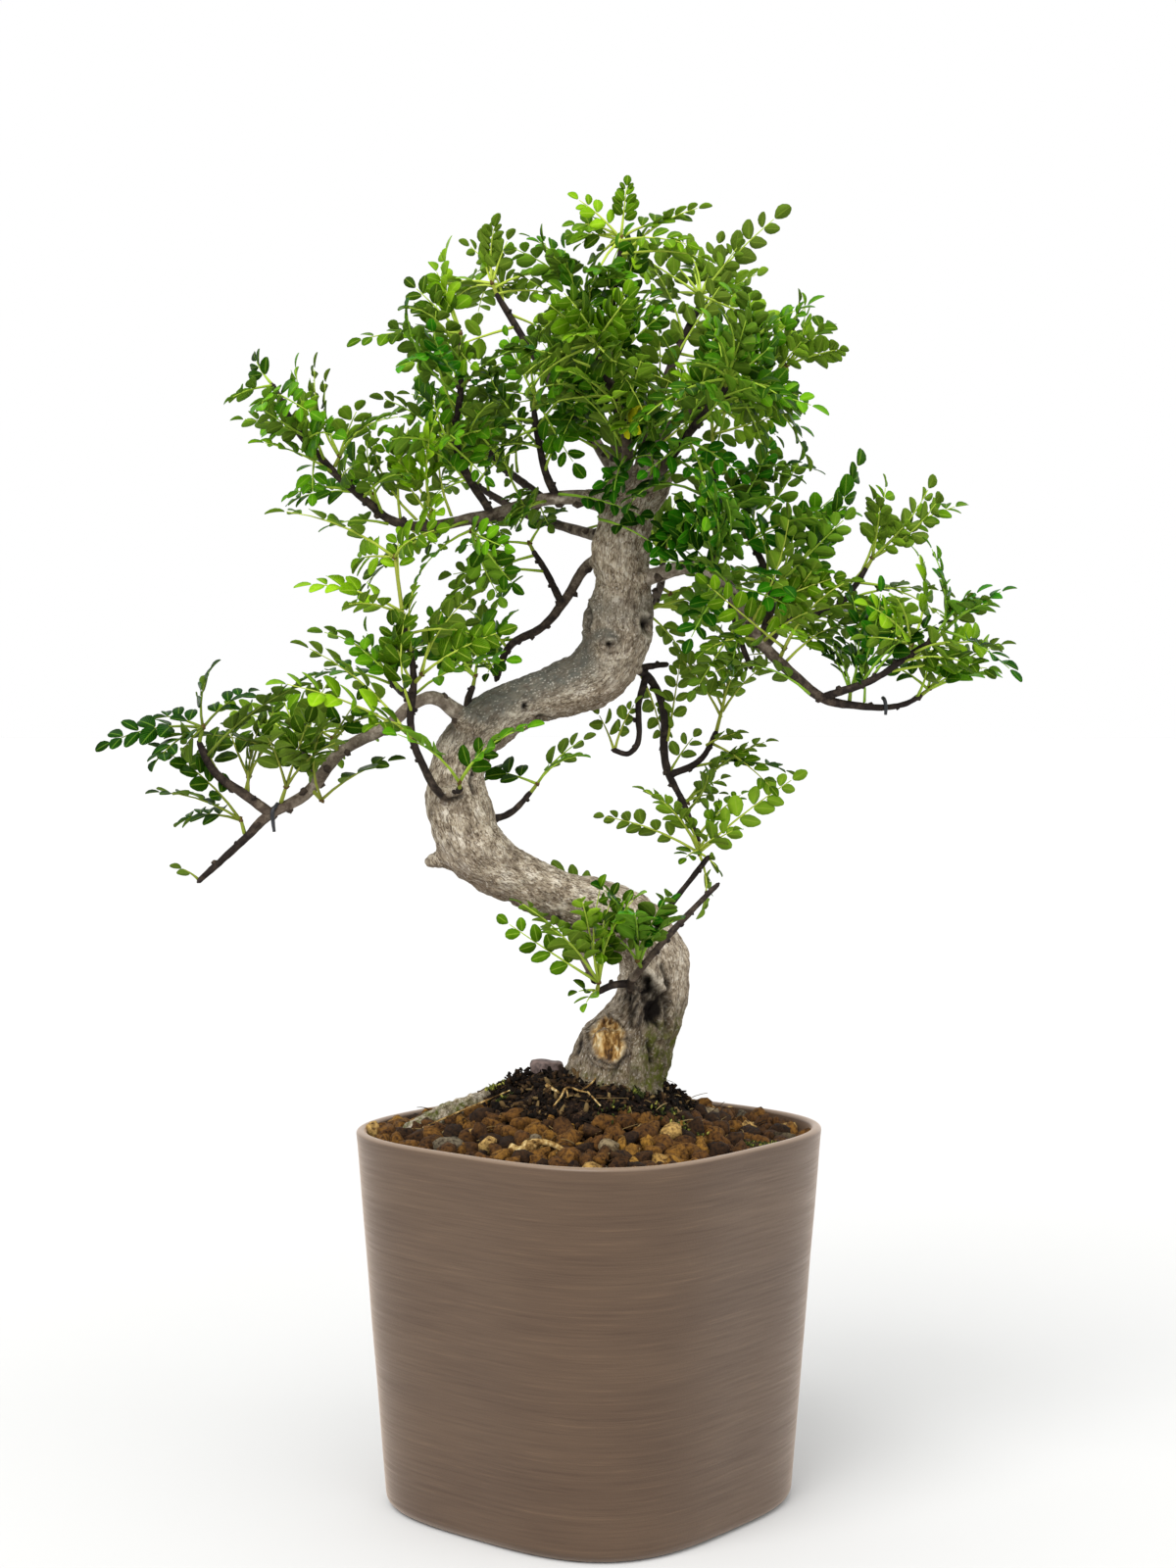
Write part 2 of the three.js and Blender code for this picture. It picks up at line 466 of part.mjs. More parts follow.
// A cylinder bent along its stations, with each end ring square to the way there
function bentCylinder(stations, sides, grow) {
  const steps = stations.length - 1;
  const tube = new THREE.CylinderGeometry(1, 1, steps, sides, steps);
  const place = tube.attributes.position;
  const across = [];
  let normal = new THREE.Vector3(0.31, 0.87, 0.38);
  stations.forEach((station, i) => {
    const before = stations[Math.max(i - 1, 0)].at;
    const after = stations[Math.min(i + 1, steps)].at;
    const tangent = after.clone().sub(before).normalize();
    normal = normal.clone().addScaledVector(tangent, -normal.dot(tangent)).normalize();
    across.push({ normal, binormal: normal.clone().cross(tangent) });
  });
  for (let i = 0; i < place.count; i += 1) {
    const level = Math.round(place.getY(i) + steps / 2);
    const station = stations[level];
    const point = station.at.clone();
    point.addScaledVector(across[level].normal, place.getX(i) * (station.radius + grow));
    point.addScaledVector(across[level].binormal, place.getZ(i) * (station.radius + grow));
    place.setXYZ(i, point.x, point.y, point.z);
  }
  return solidOf(tube);
}

// Stout branches get more sides than thin ones, and twigs are four-sided
function branchSides(route) {
  const rootRadius = route[0][3];
  if (rootRadius > STOUT_RADIUS) {
    return STOUT_SIDES;
  }
  return rootRadius > THIN_RADIUS ? THIN_SIDES : TWIG_SIDES;
}

function branchSolid(route) {
  return bentCylinder(stationsOf(route), branchSides(route), 0);
}

function lump(knot) {
  const shape = new THREE.IcosahedronGeometry(1, 0);
  shape.scale(...knot.half);
  shape.translate(...knot.at);
  return solidOf(shape);
}

function woodSolid() {
  const pieces = [bentCylinder(stationsOf(trunkRoute), TRUNK_SIDES, 0)];
  Object.values(branchRoutes).forEach((route) => pieces.push(branchSolid(route)));
  knots.forEach((knot) => pieces.push(lump(knot)));
  return joined(pieces).subtract(lump(footHollow));
}

// The room that the buried wood takes up in soil and gravel
function woodRoom() {
  const buried = stationsOf(trunkRoute.slice(0, BURIED_STATIONS));
  const low = buried[0];
  buried[0] = { at: low.at.clone().setZ(low.at.z - GAP), radius: low.radius };
  const root = stationsOf(branchRoutes.root_left);
  const [before, end] = root.slice(-2);
  const onward = end.at.clone().sub(before.at).setLength(GAP);
  root[root.length - 1] = { at: end.at.clone().add(onward), radius: end.radius };
  const rootRoom = bentCylinder(root, branchSides(branchRoutes.root_left), GAP);
  return bentCylinder(buried, TRUNK_SIDES, GAP).add(rootRoom);
}

// A flat stone that lies on the heap beside the trunk
const STONE = { at: [-19, 9, 195.6], half: [7.5, 5.5, 2.6] };

function stoneSolid(grow) {
  const shape = new THREE.CylinderGeometry(0.8, 1, 2, 7);
  shape.rotateX(Math.PI / 2);
  shape.scale(STONE.half[0] + grow, STONE.half[1] + grow, STONE.half[2] + grow);
  shape.rotateY(0.12);
  shape.translate(...STONE.at);
  return solidOf(shape);
}

// Wood as straight tapering lengths, to keep leaves and stems clear of it
const woodLengths = [];

function addLengths(stations) {
  for (let i = 1; i < stations.length; i += 1) {
    woodLengths.push({ a: stations[i - 1], b: stations[i] });
  }
}

addLengths(stationsOf(trunkRoute));
Object.values(branchRoutes).forEach((route) => addLengths(stationsOf(route)));

function woodDistance(point) {
  let least = Infinity;
  woodLengths.forEach(({ a, b }) => {
    const axis = b.at.clone().sub(a.at);
    const length = axis.length();
    const offset = point.clone().sub(a.at);
    const along = offset.dot(axis) / length;
    const share = Math.min(Math.max(along / length, 0), 1);
    const radius = a.radius + (b.radius - a.radius) * share;
    const away = Math.sqrt(Math.max(offset.lengthSq() - along * along, 0)) - radius;
    const beyond = Math.max(-along, along - length);
    const outside = Math.hypot(Math.max(away, 0), Math.max(beyond, 0));
    least = Math.min(least, outside > 0 ? outside : Math.max(away, beyond));
  });
  return least;
}

// Where a stem starts: just off the wood's surface, on the way from its root to its bud
function stemStart(from, bud) {
  const way = bud.clone().sub(from).normalize();
  const side = new THREE.Vector3(0.3, 0.5, 0.8).cross(way).normalize();
  const other = side.clone().cross(way);
  const start = from.clone();
  const isClear = () => [[0, 0], [1, 0], [-1, 0], [0, 1], [0, -1]].every(([a, b]) => {
    const corner = start.clone().addScaledVector(side, a * STEM_RADIUS);
    return woodDistance(corner.addScaledVector(other, b * STEM_RADIUS)) > GAP;
  });
  while (!isClear()) {
    start.addScaledVector(way, STEM_STEP);
  }
  return start;
}

// Fronds

// A frond's frame: its base, its span, its arch along the blade's normal, and its own sideways
function frondFrame(base, tip, roll, arch) {
  const span = tip.clone().sub(base);
  const length = span.length();
  const ahead = span.clone().divideScalar(length);
  const outward = new THREE.Vector3(base.x + tip.x - 20, base.y + tip.y, 0).normalize();
  const facing = new THREE.Vector3(0, 0, 0.7).addScaledVector(outward, 0.6);
  facing.addScaledVector(ahead, -facing.dot(ahead)).normalize();
  const normal = facing.applyAxisAngle(ahead, roll);
  return { base, length, ahead, normal, side: ahead.clone().cross(normal), arch };
}

// The place on a frond at a distance from its base, with a sideways and an upward offset
function frondPoint(frond, along, sideways, lift) {
  const share = along / frond.length;
  const rise = frond.arch * frond.length * 4 * share * (1 - share);
  const slope = frond.arch * 4 * (1 - 2 * share);
  const up = frond.normal.clone().addScaledVector(frond.ahead, -slope).normalize();
  const point = frond.base.clone().addScaledVector(frond.ahead, along);
  point.addScaledVector(frond.normal, rise);
  point.addScaledVector(frond.side, sideways);
  return point.addScaledVector(up, BLADE_CUP * Math.abs(sideways) + lift);
}

function leafletPairs(length) {
  return length < SHORT_FROND ? 1 : 2;
}

// Leaflets are larger than life, because each stands for two or three
function leafletLength(length) {
  return length < SHORT_FROND ? 0.43 * length : 0.3 * length + 3;
}

// A frond's flat plan: outline faces in distance from the base and sideways offset.
// Leaflets are wedges cut to the rib, broad near their blunt ends.
function frondPlan(length) {
  const pairs = leafletPairs(length);
  const size = leafletLength(length);
  const half = LEAFLET_HALF * size;
  const firstRoot = length * PETIOLE_SHARE;
  const lastRoot = length - size * 0.95;
  const pitch = pairs > 1 ? (lastRoot - LEAFLET_FOOT - firstRoot) / (pairs - 1) : 0;
  const points = [[0, ROOT_HALF], [0, -ROOT_HALF]];
  const faces = [];
  let left = 0;
  let right = 1;
  const rib = (along) => {
    points.push([along, RIB_HALF], [along, -RIB_HALF]);
    const fresh = points.length - 2;
    faces.push([left, right, fresh + 1], [left, fresh + 1, fresh]);
    left = fresh;
    right = fresh + 1;
  };
  for (let pair = 0; pair < pairs; pair += 1) {
    const root = pairs > 1 ? firstRoot + pitch * pair : lastRoot - LEAFLET_FOOT;
    rib(root);
    const [rearLeft, rearRight] = [left, right];
    rib(root + LEAFLET_FOOT);
    [1, -1].forEach((sign) => {
      const first = points.length;
      points.push([root + 0.22 * size, sign * (size * 0.86)]);
      points.push([root + 0.22 * size + 1.6 * half, sign * (size * 0.72)]);
      const rear = sign > 0 ? rearLeft : rearRight;
      const front = sign > 0 ? left : right;
      const fan = [[rear, front, first + 1], [rear, first + 1, first]];
      faces.push(...(sign > 0 ? fan : fan.map(([a, b, c]) => [a, c, b])));
    });
  }
  const end = points.length;
  points.push([lastRoot + size * 0.6, half], [length, 0], [lastRoot + size * 0.6, -half]);
  faces.push([left, end + 1, end], [left, right, end + 1], [right, end + 2, end + 1]);
  return { points, faces };
}

// The plan bent onto its frame and given its thickness, split into triangles alike on both faces
function frondSolid(frond) {
  const plan = frondPlan(frond.length);
  const count = plan.points.length;
  const upper = plan.points.map(([along, sideways]) => frondPoint(frond, along, sideways, BLADE / 2));
  const lower = plan.points.map(([along, sideways]) => frondPoint(frond, along, sideways, -BLADE / 2));
  const faces = [];
  const edges = new Map();
  plan.faces.forEach(([a, b, c]) => {
    faces.push([a, c, b], [count + a, count + b, count + c]);
    [[a, b], [b, c], [c, a]].forEach(([p, q]) => {
      if (edges.has(`${q} ${p}`)) {
        edges.delete(`${q} ${p}`);
      } else {
        edges.set(`${p} ${q}`, [p, q]);
      }
    });
  });
  edges.forEach(([p, q]) => {
    faces.push([p, q, count + q], [p, count + q, count + p]);
  });
  return solidOf(facedGeometry([...upper, ...lower], faces));
}

// Points spread over a frond, to test how near it comes to its neighbours
function frondSamples(frond) {
  const samples = [];
  const reach = leafletLength(frond.length);
  for (let along = frond.length * PETIOLE_SHARE; along <= frond.length; along += SAMPLE_STEP) {
    for (let across = -SAMPLE_ROWS; across <= SAMPLE_ROWS; across += 1) {
      samples.push(frondPoint(frond, along, 0.95 * reach * across / SAMPLE_ROWS, 0));
    }
  }
  samples.push(frondPoint(frond, frond.length, 0, 0));
  return samples;
}

const placedSamples = [];

function roomAround(samples, spray) {
  let least = Infinity;
  placedSamples.forEach((other) => {
    if (other.spray !== spray) {
      samples.forEach((sample) => {
        least = Math.min(least, sample.distanceTo(other.point) / LEAF_CLEARANCE);
      });
    }
  });
  samples.forEach((sample) => {
    least = Math.min(least, woodDistance(sample) / WOOD_CLEARANCE);
  });
  return least;
}

// The place of a frond that is clear of all that stands already, or else the roomiest one
function placeFrond(base, tipRow, sprayIndex, frondIndex) {
  const random = randomSource(sprayIndex * 10 + frondIndex + 1);
  const firstRoll = (random() - 0.5) * ROLL_SPREAD;
  const arch = LEAST_ARCH + ARCH_SPREAD * random();
  let best = null;
  let bestRoom = -Infinity;
  for (const depth of DEPTH_TRIES) {
    for (const turn of ROLL_TRIES) {
      const tip = vector(tipRow);
      tip.y += depth;
      const frond = frondFrame(base, tip, firstRoll + turn, arch);
      if (best && frond.length > LONGEST_FROND) {
        continue;
      }
      const room = roomAround(frondSamples(frond), sprayIndex);
      if (room > bestRoom) {
        best = frond;
        bestRoom = room;
      }
      if (bestRoom >= 1) {
        return best;
      }
    }
  }
  return best;
}

function spraySolid(spray, sprayIndex) {
  const bud = vector(spray.bud);
  const start = stemStart(vector(spray.from), bud);
  const beyond = bud.clone().add(bud.clone().sub(start).setLength(BUD_RADIUS));
  const stations = [
    { at: start, radius: STEM_RADIUS }, { at: bud, radius: BUD_RADIUS }, { at: beyond, radius: BUD_RADIUS / 3 },
  ];
  const pieces = [bentCylinder(stations, 4, 0)];
  spray.tips.forEach((tipRow, frondIndex) => {
    const share = tipRow.length > 3 ? tipRow[3] : 1;
    const base = start.clone().lerp(bud, share);
    const frond = placeFrond(base, tipRow, sprayIndex, frondIndex);
    frondSamples(frond).forEach((point) => placedSamples.push({ spray: sprayIndex, point }));
    pieces.push(frondSolid(frond));
  });
  return joined(pieces);
}

// The whole part
const group = new THREE.Group();

function addNode(name, solid, color, roughness) {
  const material = new THREE.MeshStandardMaterial({ color, roughness, metalness: 0 });
  const mesh = new THREE.Mesh(geometryOf(solid), material);
  mesh.name = name;
  group.add(mesh);
}

const room = woodRoom();
addNode('pot', potSolid(), 0x705d4e, 0.6);
addNode('soil', largestBody(soilSolid().subtract(room).subtract(stoneSolid(GAP))), 0x2b211b, 0.95);
addNode('gravel', largestBody(gravelSolid().subtract(room)), 0x7a4a26, 0.9);
addNode('flat_stone', stoneSolid(0), 0x5a4a4c, 0.8);
addNode('trunk_and_branches', woodSolid(), 0x8c8076, 0.85);
sprays.forEach((spray, index) => {
  addNode(`spray_${spray.name}`, spraySolid(spray, index), leafTones[spray.tone], 0.5);
});

export default group;
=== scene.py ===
# %% [markdown]
# # A pepper tree bonsai in its pot
# The real object is a small indoor tree with an S-shaped trunk, fine twigs and feathery leaves, in a
# tall tapering pot. The solid model gives every piece its place and size, and this lesson dresses
# it: pot, soil, clay grains, wood, leaves. Everything is in metres, and the tree is seen from its
# front when looking along +Y.
# %% Load the solid model
import math

import bmesh
import bpy
import numpy as np
from mathutils import Matrix, Vector, kdtree, noise


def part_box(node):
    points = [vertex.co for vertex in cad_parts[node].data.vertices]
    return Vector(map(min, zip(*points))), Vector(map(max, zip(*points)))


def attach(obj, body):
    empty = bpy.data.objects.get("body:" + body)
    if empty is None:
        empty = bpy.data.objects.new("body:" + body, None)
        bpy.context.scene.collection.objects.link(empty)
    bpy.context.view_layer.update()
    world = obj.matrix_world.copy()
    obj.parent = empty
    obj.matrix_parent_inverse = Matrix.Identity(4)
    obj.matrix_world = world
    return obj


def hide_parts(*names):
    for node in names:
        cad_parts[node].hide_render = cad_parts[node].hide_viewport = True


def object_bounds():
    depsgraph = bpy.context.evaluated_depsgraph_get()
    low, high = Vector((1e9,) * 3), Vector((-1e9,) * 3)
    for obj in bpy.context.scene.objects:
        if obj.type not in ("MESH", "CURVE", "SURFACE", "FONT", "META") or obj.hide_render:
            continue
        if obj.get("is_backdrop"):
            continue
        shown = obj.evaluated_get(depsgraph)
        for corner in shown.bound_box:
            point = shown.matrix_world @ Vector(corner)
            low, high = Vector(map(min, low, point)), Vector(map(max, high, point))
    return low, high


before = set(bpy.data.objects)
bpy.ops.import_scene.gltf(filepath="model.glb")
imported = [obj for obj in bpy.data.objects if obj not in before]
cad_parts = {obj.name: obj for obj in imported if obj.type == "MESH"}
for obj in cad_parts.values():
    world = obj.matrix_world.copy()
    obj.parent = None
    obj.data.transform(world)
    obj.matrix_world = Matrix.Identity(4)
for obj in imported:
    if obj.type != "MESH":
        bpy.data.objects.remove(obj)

cad_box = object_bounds()
box_mm = [[round(v * 1000) for v in corner] for corner in cad_box]
print("solid model:", len(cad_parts), "nodes, box in mm:", box_mm)

# %% [markdown]
# ## Camera, light and floor
# A photograph of a plant like this is taken in a bright white tent: soft light from all round, a
# little stronger from the upper left. A pale world does the tent, and two very wide suns give the
# leaves their form. Suns don't fade with distance, so the pale floor stays even out to the horizon.
# %% Camera
MM = 0.001

scene = bpy.context.scene
camera_data = bpy.data.cameras.new("camera")
camera_data.lens = 56.5
camera = bpy.data.objects.new("camera", camera_data)
camera.location = (-0.8 * MM, -1119.3 * MM, 360.7 * MM)
camera.rotation_euler = (math.radians(88.273), 0, 0)
scene.collection.objects.link(camera)
scene.camera = camera
scene.view_settings.view_transform = "Standard"

# %% Small functions for nodes, colours, materials and meshes
SHARE, UNDER, OVER = 0, 6, 7        # a colour Mix's inputs by number, because their names repeat


def add(tree, kind, inputs=(), stops=(), out=None, **settings):
    """Adds a node and gives back its first output in use, or the one that out names.

    Inputs are values or other nodes' outputs, by name or in order, and stops are a ramp's colours.
    """
    made = tree.nodes.new("ShaderNode" + kind)
    for key, value in settings.items():
        setattr(made, key, value)
    for key, value in inputs.items() if isinstance(inputs, dict) else enumerate(inputs):
        if isinstance(value, bpy.types.NodeSocket):
            tree.links.new(value, made.inputs[key])
        else:
            made.inputs[key].default_value = value
    if stops:
        elements = made.color_ramp.elements
        while len(elements) < len(stops):
            elements.new(1)
        for element, (position, colour) in zip(elements, stops):
            element.position = position
            element.color = hex_colour(colour)
    return made.outputs[out] if out else next(socket for socket in made.outputs if socket.enabled)


def hex_colour(text):
    """An sRGB hex value as the linear colour that Blender mixes."""
    values = [int(text[i : i + 2], 16) / 255 for i in (1, 3, 5)]
    return (*[v / 12.92 if v <= 0.04045 else ((v + 0.055) / 1.055) ** 2.4 for v in values], 1)


def start_material(name, **settings):
    """A material with its Principled shader, and the constant values set on its own sockets."""
    made = bpy.data.materials.new(name)
    made.use_nodes = True
    shader = made.node_tree.nodes["Principled BSDF"]
    for key, value in settings.items():
        shader.inputs[key.replace("_", " ")].default_value = value
    return made, made.node_tree, shader


def feed(shader, **sources):
    """Links outputs to the shader's inputs."""
    for key, source in sources.items():
        shader.id_data.links.new(source, shader.inputs[key.replace("_", " ")])


def read_marks(tree, name="mark"):
    """The four values that a mesh stores for each point under a name."""
    stored = add(tree, "Attribute", attribute_name=name).node
    parts = add(tree, "SeparateColor", {"Color": stored.outputs["Color"]}).node
    return [*parts.outputs, stored.outputs["Alpha"]]


def finished(shape, name, outward=False):
    """The mesh of a bmesh, which is freed; outward turns all its faces out first."""
    if outward:
        bmesh.ops.recalc_face_normals(shape, faces=shape.faces[:])
    made = bpy.data.meshes.new(name)
    shape.to_mesh(made)
    shape.free()
    return made


def applied(thing):
    """The mesh of a new object with its modifiers applied; the object goes."""
    scene.collection.objects.link(thing)
    made = bpy.data.meshes.new_from_object(thing.evaluated_get(bpy.context.evaluated_depsgraph_get()))
    bpy.data.objects.remove(thing)
    return made


# %% Light
scene.world = bpy.data.worlds.new("tent")
scene.world.use_nodes = True
tent = scene.world.node_tree.nodes["Background"]
tent.inputs["Color"].default_value = (1.0, 1.0, 1.0, 1)
tent.inputs["Strength"].default_value = 1.0


def add_sun(name, strength, wide, tilt, turn):
    data = bpy.data.lights.new(name, "SUN")
    data.energy = strength
    data.angle = math.radians(wide)
    sun = bpy.data.objects.new(name, data)
    sun.rotation_euler = (math.radians(tilt), 0, math.radians(turn))
    scene.collection.objects.link(sun)


add_sun("key", 2.4, 40, 42, -32)
add_sun("fill", 0.9, 70, 60, 40)

# %% Floor
bm = bmesh.new()
bmesh.ops.create_circle(bm, segments=96, radius=30, cap_ends=True)
floor = bpy.data.objects.new("floor", finished(bm, "floor"))
scene.collection.objects.link(floor)
floor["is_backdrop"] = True
paper, tree, shader = start_material("studio_paper", Roughness=0.9, Specular_IOR_Level=0.1)
paper_place = add(tree, "TexCoord", out="Object")
paper_tooth = add(tree, "TexNoise", {"Vector": paper_place, "Scale": 0.4})
paper_tone = add(tree, "ValToRGB", {"Fac": paper_tooth}, ((0.3, "#cccccb"), (0.7, "#cfcfce")))
feed(shader, Base_Color=paper_tone)
floor.data.materials.append(paper)

# %% [markdown]
# ## A small kit
# Many pieces here are hundreds of copies of one small shape: leaflets, grains, crumbs. Each shape is
# made once with bmesh operators. A piece then takes as many copies as it needs into one mesh and
# sets all their points in one step, which keeps every place in the mesh and runs fast.
# %% Kit: seeded random, templates, pieces
SEEDS = {
    "crumbs": 31, "fibres": 37, "grains": 53, "nodes": 71, "moss": 83, "bud_fronds": 900, "twig_fronds": 1500,
    "leaflets": 3000,
}
ANY_TURN = 6.28


def random_source(seed):
    """The same simple random draws everywhere, so that each run gives the same tree."""
    state = (seed * 7919 + 104729) % 2147483647
    while True:
        state = (state * 48271) % 2147483647
        yield state / 2147483647


def vectors_of(mesh, field="co"):
    """The places of a mesh's points as an array, or their normals."""
    values = np.empty(len(mesh.vertices) * 3)
    mesh.vertices.foreach_get(field, values)
    return values.reshape(-1, 3)


def template(shape):
    """Keeps a small bmesh as a mesh, with its points as an array."""
    mesh = finished(shape, "template", outward=True)
    return mesh, vectors_of(mesh)


def add_piece(name, mesh, material, slot, *nodes):
    """Gives a mesh its object, material and body, and hides the solids that it stands for; slot is not used.
    """
    for face in mesh.polygons:
        face.use_smooth = True
    mesh.materials.clear()
    mesh.materials.append(material)
    piece = bpy.data.objects.new(name, mesh)
    scene.collection.objects.link(piece)
    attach(piece, "root")
    if nodes:
        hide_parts(*nodes)
    mesh.calc_loop_triangles()
    print(f"{name}: {len(mesh.loop_triangles)} triangles")
    return piece


def move_points(mesh, points):
    """Puts the points of a mesh at new places in mm."""
    mesh.vertices.foreach_set("co", (points * MM).ravel())
    mesh.update()


def mark_points(mesh, name, values, kind="FLOAT_COLOR", field="color"):
    """Stores four values for each point of a mesh, or a vector, for its material to read."""
    layer = mesh.attributes.new(name, kind, "POINT")
    layer.data.foreach_set(field, np.asarray(values, dtype=np.float32).ravel())


def gathered(name, copies):
    """One mesh from copies of templates: each is a template, its points in mm and its marks."""
    bm = bmesh.new()
    for mesh, points, marks in copies:
        bm.from_mesh(mesh)
    made = finished(bm, name)
    move_points(made, np.concatenate([points for mesh, points, marks in copies]))
    marked = [np.broadcast_to(marks, (len(points), 4)) for mesh, points, marks in copies]
    mark_points(made, "mark", np.concatenate(marked))
    return made


def noise_at(points, scale, seed=0.0):
    """Smooth noise between -1 and 1 at points in mm, for bumps that are about scale mm long."""
    shift = Vector((seed, 7.3 * seed, -3.1 * seed))
    return np.array([noise.noise(Vector(p) / scale + shift) for p in points])


def layered_noise(points, *layers):
    """The sum of several noises, each given by its height, its length in mm and its seed."""
    return sum(height * noise_at(points, length, seed) for height, length, seed in layers)


def smooth_step(low, high, value):
    share = np.clip((value - low) / (high - low), 0, 1)
    return share * share * (3 - 2 * share)


def bell(value, width):
    """1 where the value is 0, and near 0 beyond twice the width."""
    return np.exp(-((value / width) ** 2))


def unit(vector):
    return vector / np.linalg.norm(vector)


def rotation(*turns):
    """The matrix for rows of points that turns them about axes, each an axis and an angle."""
    made = Matrix.Identity(3)
    for axis, angle in turns:
        made = made @ Matrix.Rotation(angle, 3, axis)
    return np.array(made).T


# %% [markdown]
# ## The pot
# The real pot is thin-walled stoneware, cast with a rounded-square plan, then wiped level by level
# with a brown matt slip, which leaves fine streaks that run round it. A lathe makes the wall with its
# rounded foot and lip in one sweep, and a formula then pushes the round plan out to the square.
# %% Pot: shape
POT_HEIGHT = 170.8
POT_TOP_HALF = 93.4
POT_FOOT_HALF = 81.4
POT_WALL = 4.0
POT_FLOOR = 8.0
POT_SQUARENESS = 3.2
POT_TURN = math.radians(50.5)
POT_SIDES = 144
FOOT_ROUNDING = 5.5
LIP_ROUNDING = 1.7
DRAIN_RADIUS = 5
DRAIN_OFFSET = 45
WAVER = 0.0022
GAP = 0.35


def square_factor(angle):
    """How far the rounded square reaches at an angle, for a half side of one."""
    x = np.abs(np.cos(angle - POT_TURN)) ** POT_SQUARENESS
    y = np.abs(np.sin(angle - POT_TURN)) ** POT_SQUARENESS
    return (x + y) ** (-1 / POT_SQUARENESS)


def outer_half(z):
    return POT_FOOT_HALF + (POT_TOP_HALF - POT_FOOT_HALF) * z / POT_HEIGHT


def inner_half(z):
    return outer_half(z) - POT_WALL


def arc(x, z, radius, start, end, steps):
    angles = np.radians(np.linspace(start, end, steps))
    return [(x + radius * math.cos(a), z + radius * math.sin(a)) for a in angles]


foot_x = outer_half(FOOT_ROUNDING) - FOOT_ROUNDING
lip_z = POT_HEIGHT - LIP_ROUNDING
profile = [(0, 0), (30, 0), (60, 0)]
profile += arc(foot_x, FOOT_ROUNDING, FOOT_ROUNDING, -90, -5, 8)
profile += [(outer_half(z), z) for z in np.linspace(12, 164, 20)]
profile += arc(POT_TOP_HALF - LIP_ROUNDING, lip_z, LIP_ROUNDING, 0, 90, 5)
profile += arc(inner_half(POT_HEIGHT) + LIP_ROUNDING, lip_z, LIP_ROUNDING, 90, 180, 5)
profile += [(inner_half(z), z) for z in np.linspace(160, 20, 8)]
profile += [(inner_half(14), 14), (inner_half(10) - 2, 9), (inner_half(8) - 5, POT_FLOOR), (0, POT_FLOOR)]

bm = bmesh.new()
line = [bm.verts.new((x * MM, 0, z * MM)) for x, z in profile]
edges = [bm.edges.new(pair) for pair in zip(line, line[1:])]
bmesh.ops.spin(
    bm, geom=line + edges, cent=(0, 0, 0), axis=(0, 0, 1), angle=math.tau, steps=POT_SIDES, use_merge=True
)
bmesh.ops.remove_doubles(bm, verts=bm.verts[:], dist=0.01 * MM)
for vert in bm.verts:
    x, y, z = vert.co / MM
    waver = 1 + WAVER * noise.noise(Vector((x / 60, y / 60, z / 34)))
    factor = square_factor(math.atan2(y, x)) * waver
    vert.co = Vector((x * factor, y * factor, z)) * MM
pot_mesh = finished(bm, "planter", outward=True)

# %% Pot: drain holes through the floor
bm = bmesh.new()
for k in range(4):
    angle = (k + 0.5) * math.tau / 4
    x, y = DRAIN_OFFSET * MM * math.cos(angle), DRAIN_OFFSET * MM * math.sin(angle)
    bmesh.ops.create_cone(
        bm, cap_ends=True, segments=24, radius1=DRAIN_RADIUS * MM, radius2=DRAIN_RADIUS * MM,
        depth=4 * POT_FLOOR * MM, matrix=Matrix.Translation((x, y, 0))
    )
drills = bpy.data.objects.new("drills", finished(bm, "drills"))
scene.collection.objects.link(drills)
blank = bpy.data.objects.new("blank", pot_mesh)
cut = blank.modifiers.new("cut", "BOOLEAN")
cut.object = drills
cut.solver = "EXACT"
drilled = applied(blank)
bpy.data.objects.remove(drills)

# %% [markdown]
# ### Wiped matt slip
# Matt slip on stoneware is a rough dielectric. The wiping shows twice: in colour, as darker and paler
# streaks a millimetre or two high and tens of millimetres long, and in gloss, where a streak was
# rubbed smoother. Noise that is squeezed hard in height gives both from one pattern.
# %% Pot: finish
slip, tree, shader = start_material(
    "wiped_stoneware_slip", IOR=1.5, Specular_IOR_Level=0.3, Coat_Weight=0.25, Coat_IOR=1.3,
    Coat_Roughness=0.3, Sheen_Weight=0.5, Sheen_Roughness=0.35, Sheen_Tint=(0.9, 0.68, 0.52, 1)
)
place = add(tree, "TexCoord", out="Object")
streak_place = add(tree, "Mapping", {"Vector": place, "Scale": (26, 26, 760)})
streaks = add(tree, "TexNoise", {"Vector": streak_place, "Scale": 1, "Detail": 5, "Roughness": 0.62})
patch_place = add(tree, "Mapping", {"Vector": place, "Scale": (9, 9, 40)})
patches = add(tree, "TexNoise", {"Vector": patch_place, "Scale": 1, "Detail": 3})
streak_tone = add(
    tree, "ValToRGB", {"Fac": streaks},
    ((0.26, "#412f22"), (0.45, "#4e3c2d"), (0.6, "#554232"), (0.78, "#6a5440"))
)
patch_tone = add(tree, "ValToRGB", {"Fac": patches}, ((0.35, "#4a382a"), (0.65, "#5b4837")))
tone = add(tree, "Mix", {SHARE: 0.4, UNDER: streak_tone, OVER: patch_tone}, data_type="RGBA")
height = add(tree, "SeparateXYZ", {"Vector": place}, out="Z")
lip_low, lip_high = (POT_HEIGHT - 1.5) * MM, (POT_HEIGHT - 0.4) * MM
lip = add(tree, "MapRange", {"Value": height, "From Min": lip_low, "From Max": lip_high})
worn = add(tree, "Mix", {SHARE: lip, UNDER: tone, OVER: hex_colour("#7d6a59")}, data_type="RGBA")
rub = add(
    tree, "MapRange", {"Value": streaks, "From Min": 0.35, "From Max": 0.7, "To Min": 0.5, "To Max": 0.3}
)
grit = add(tree, "TexNoise", {"Vector": place, "Scale": 900, "Detail": 2})
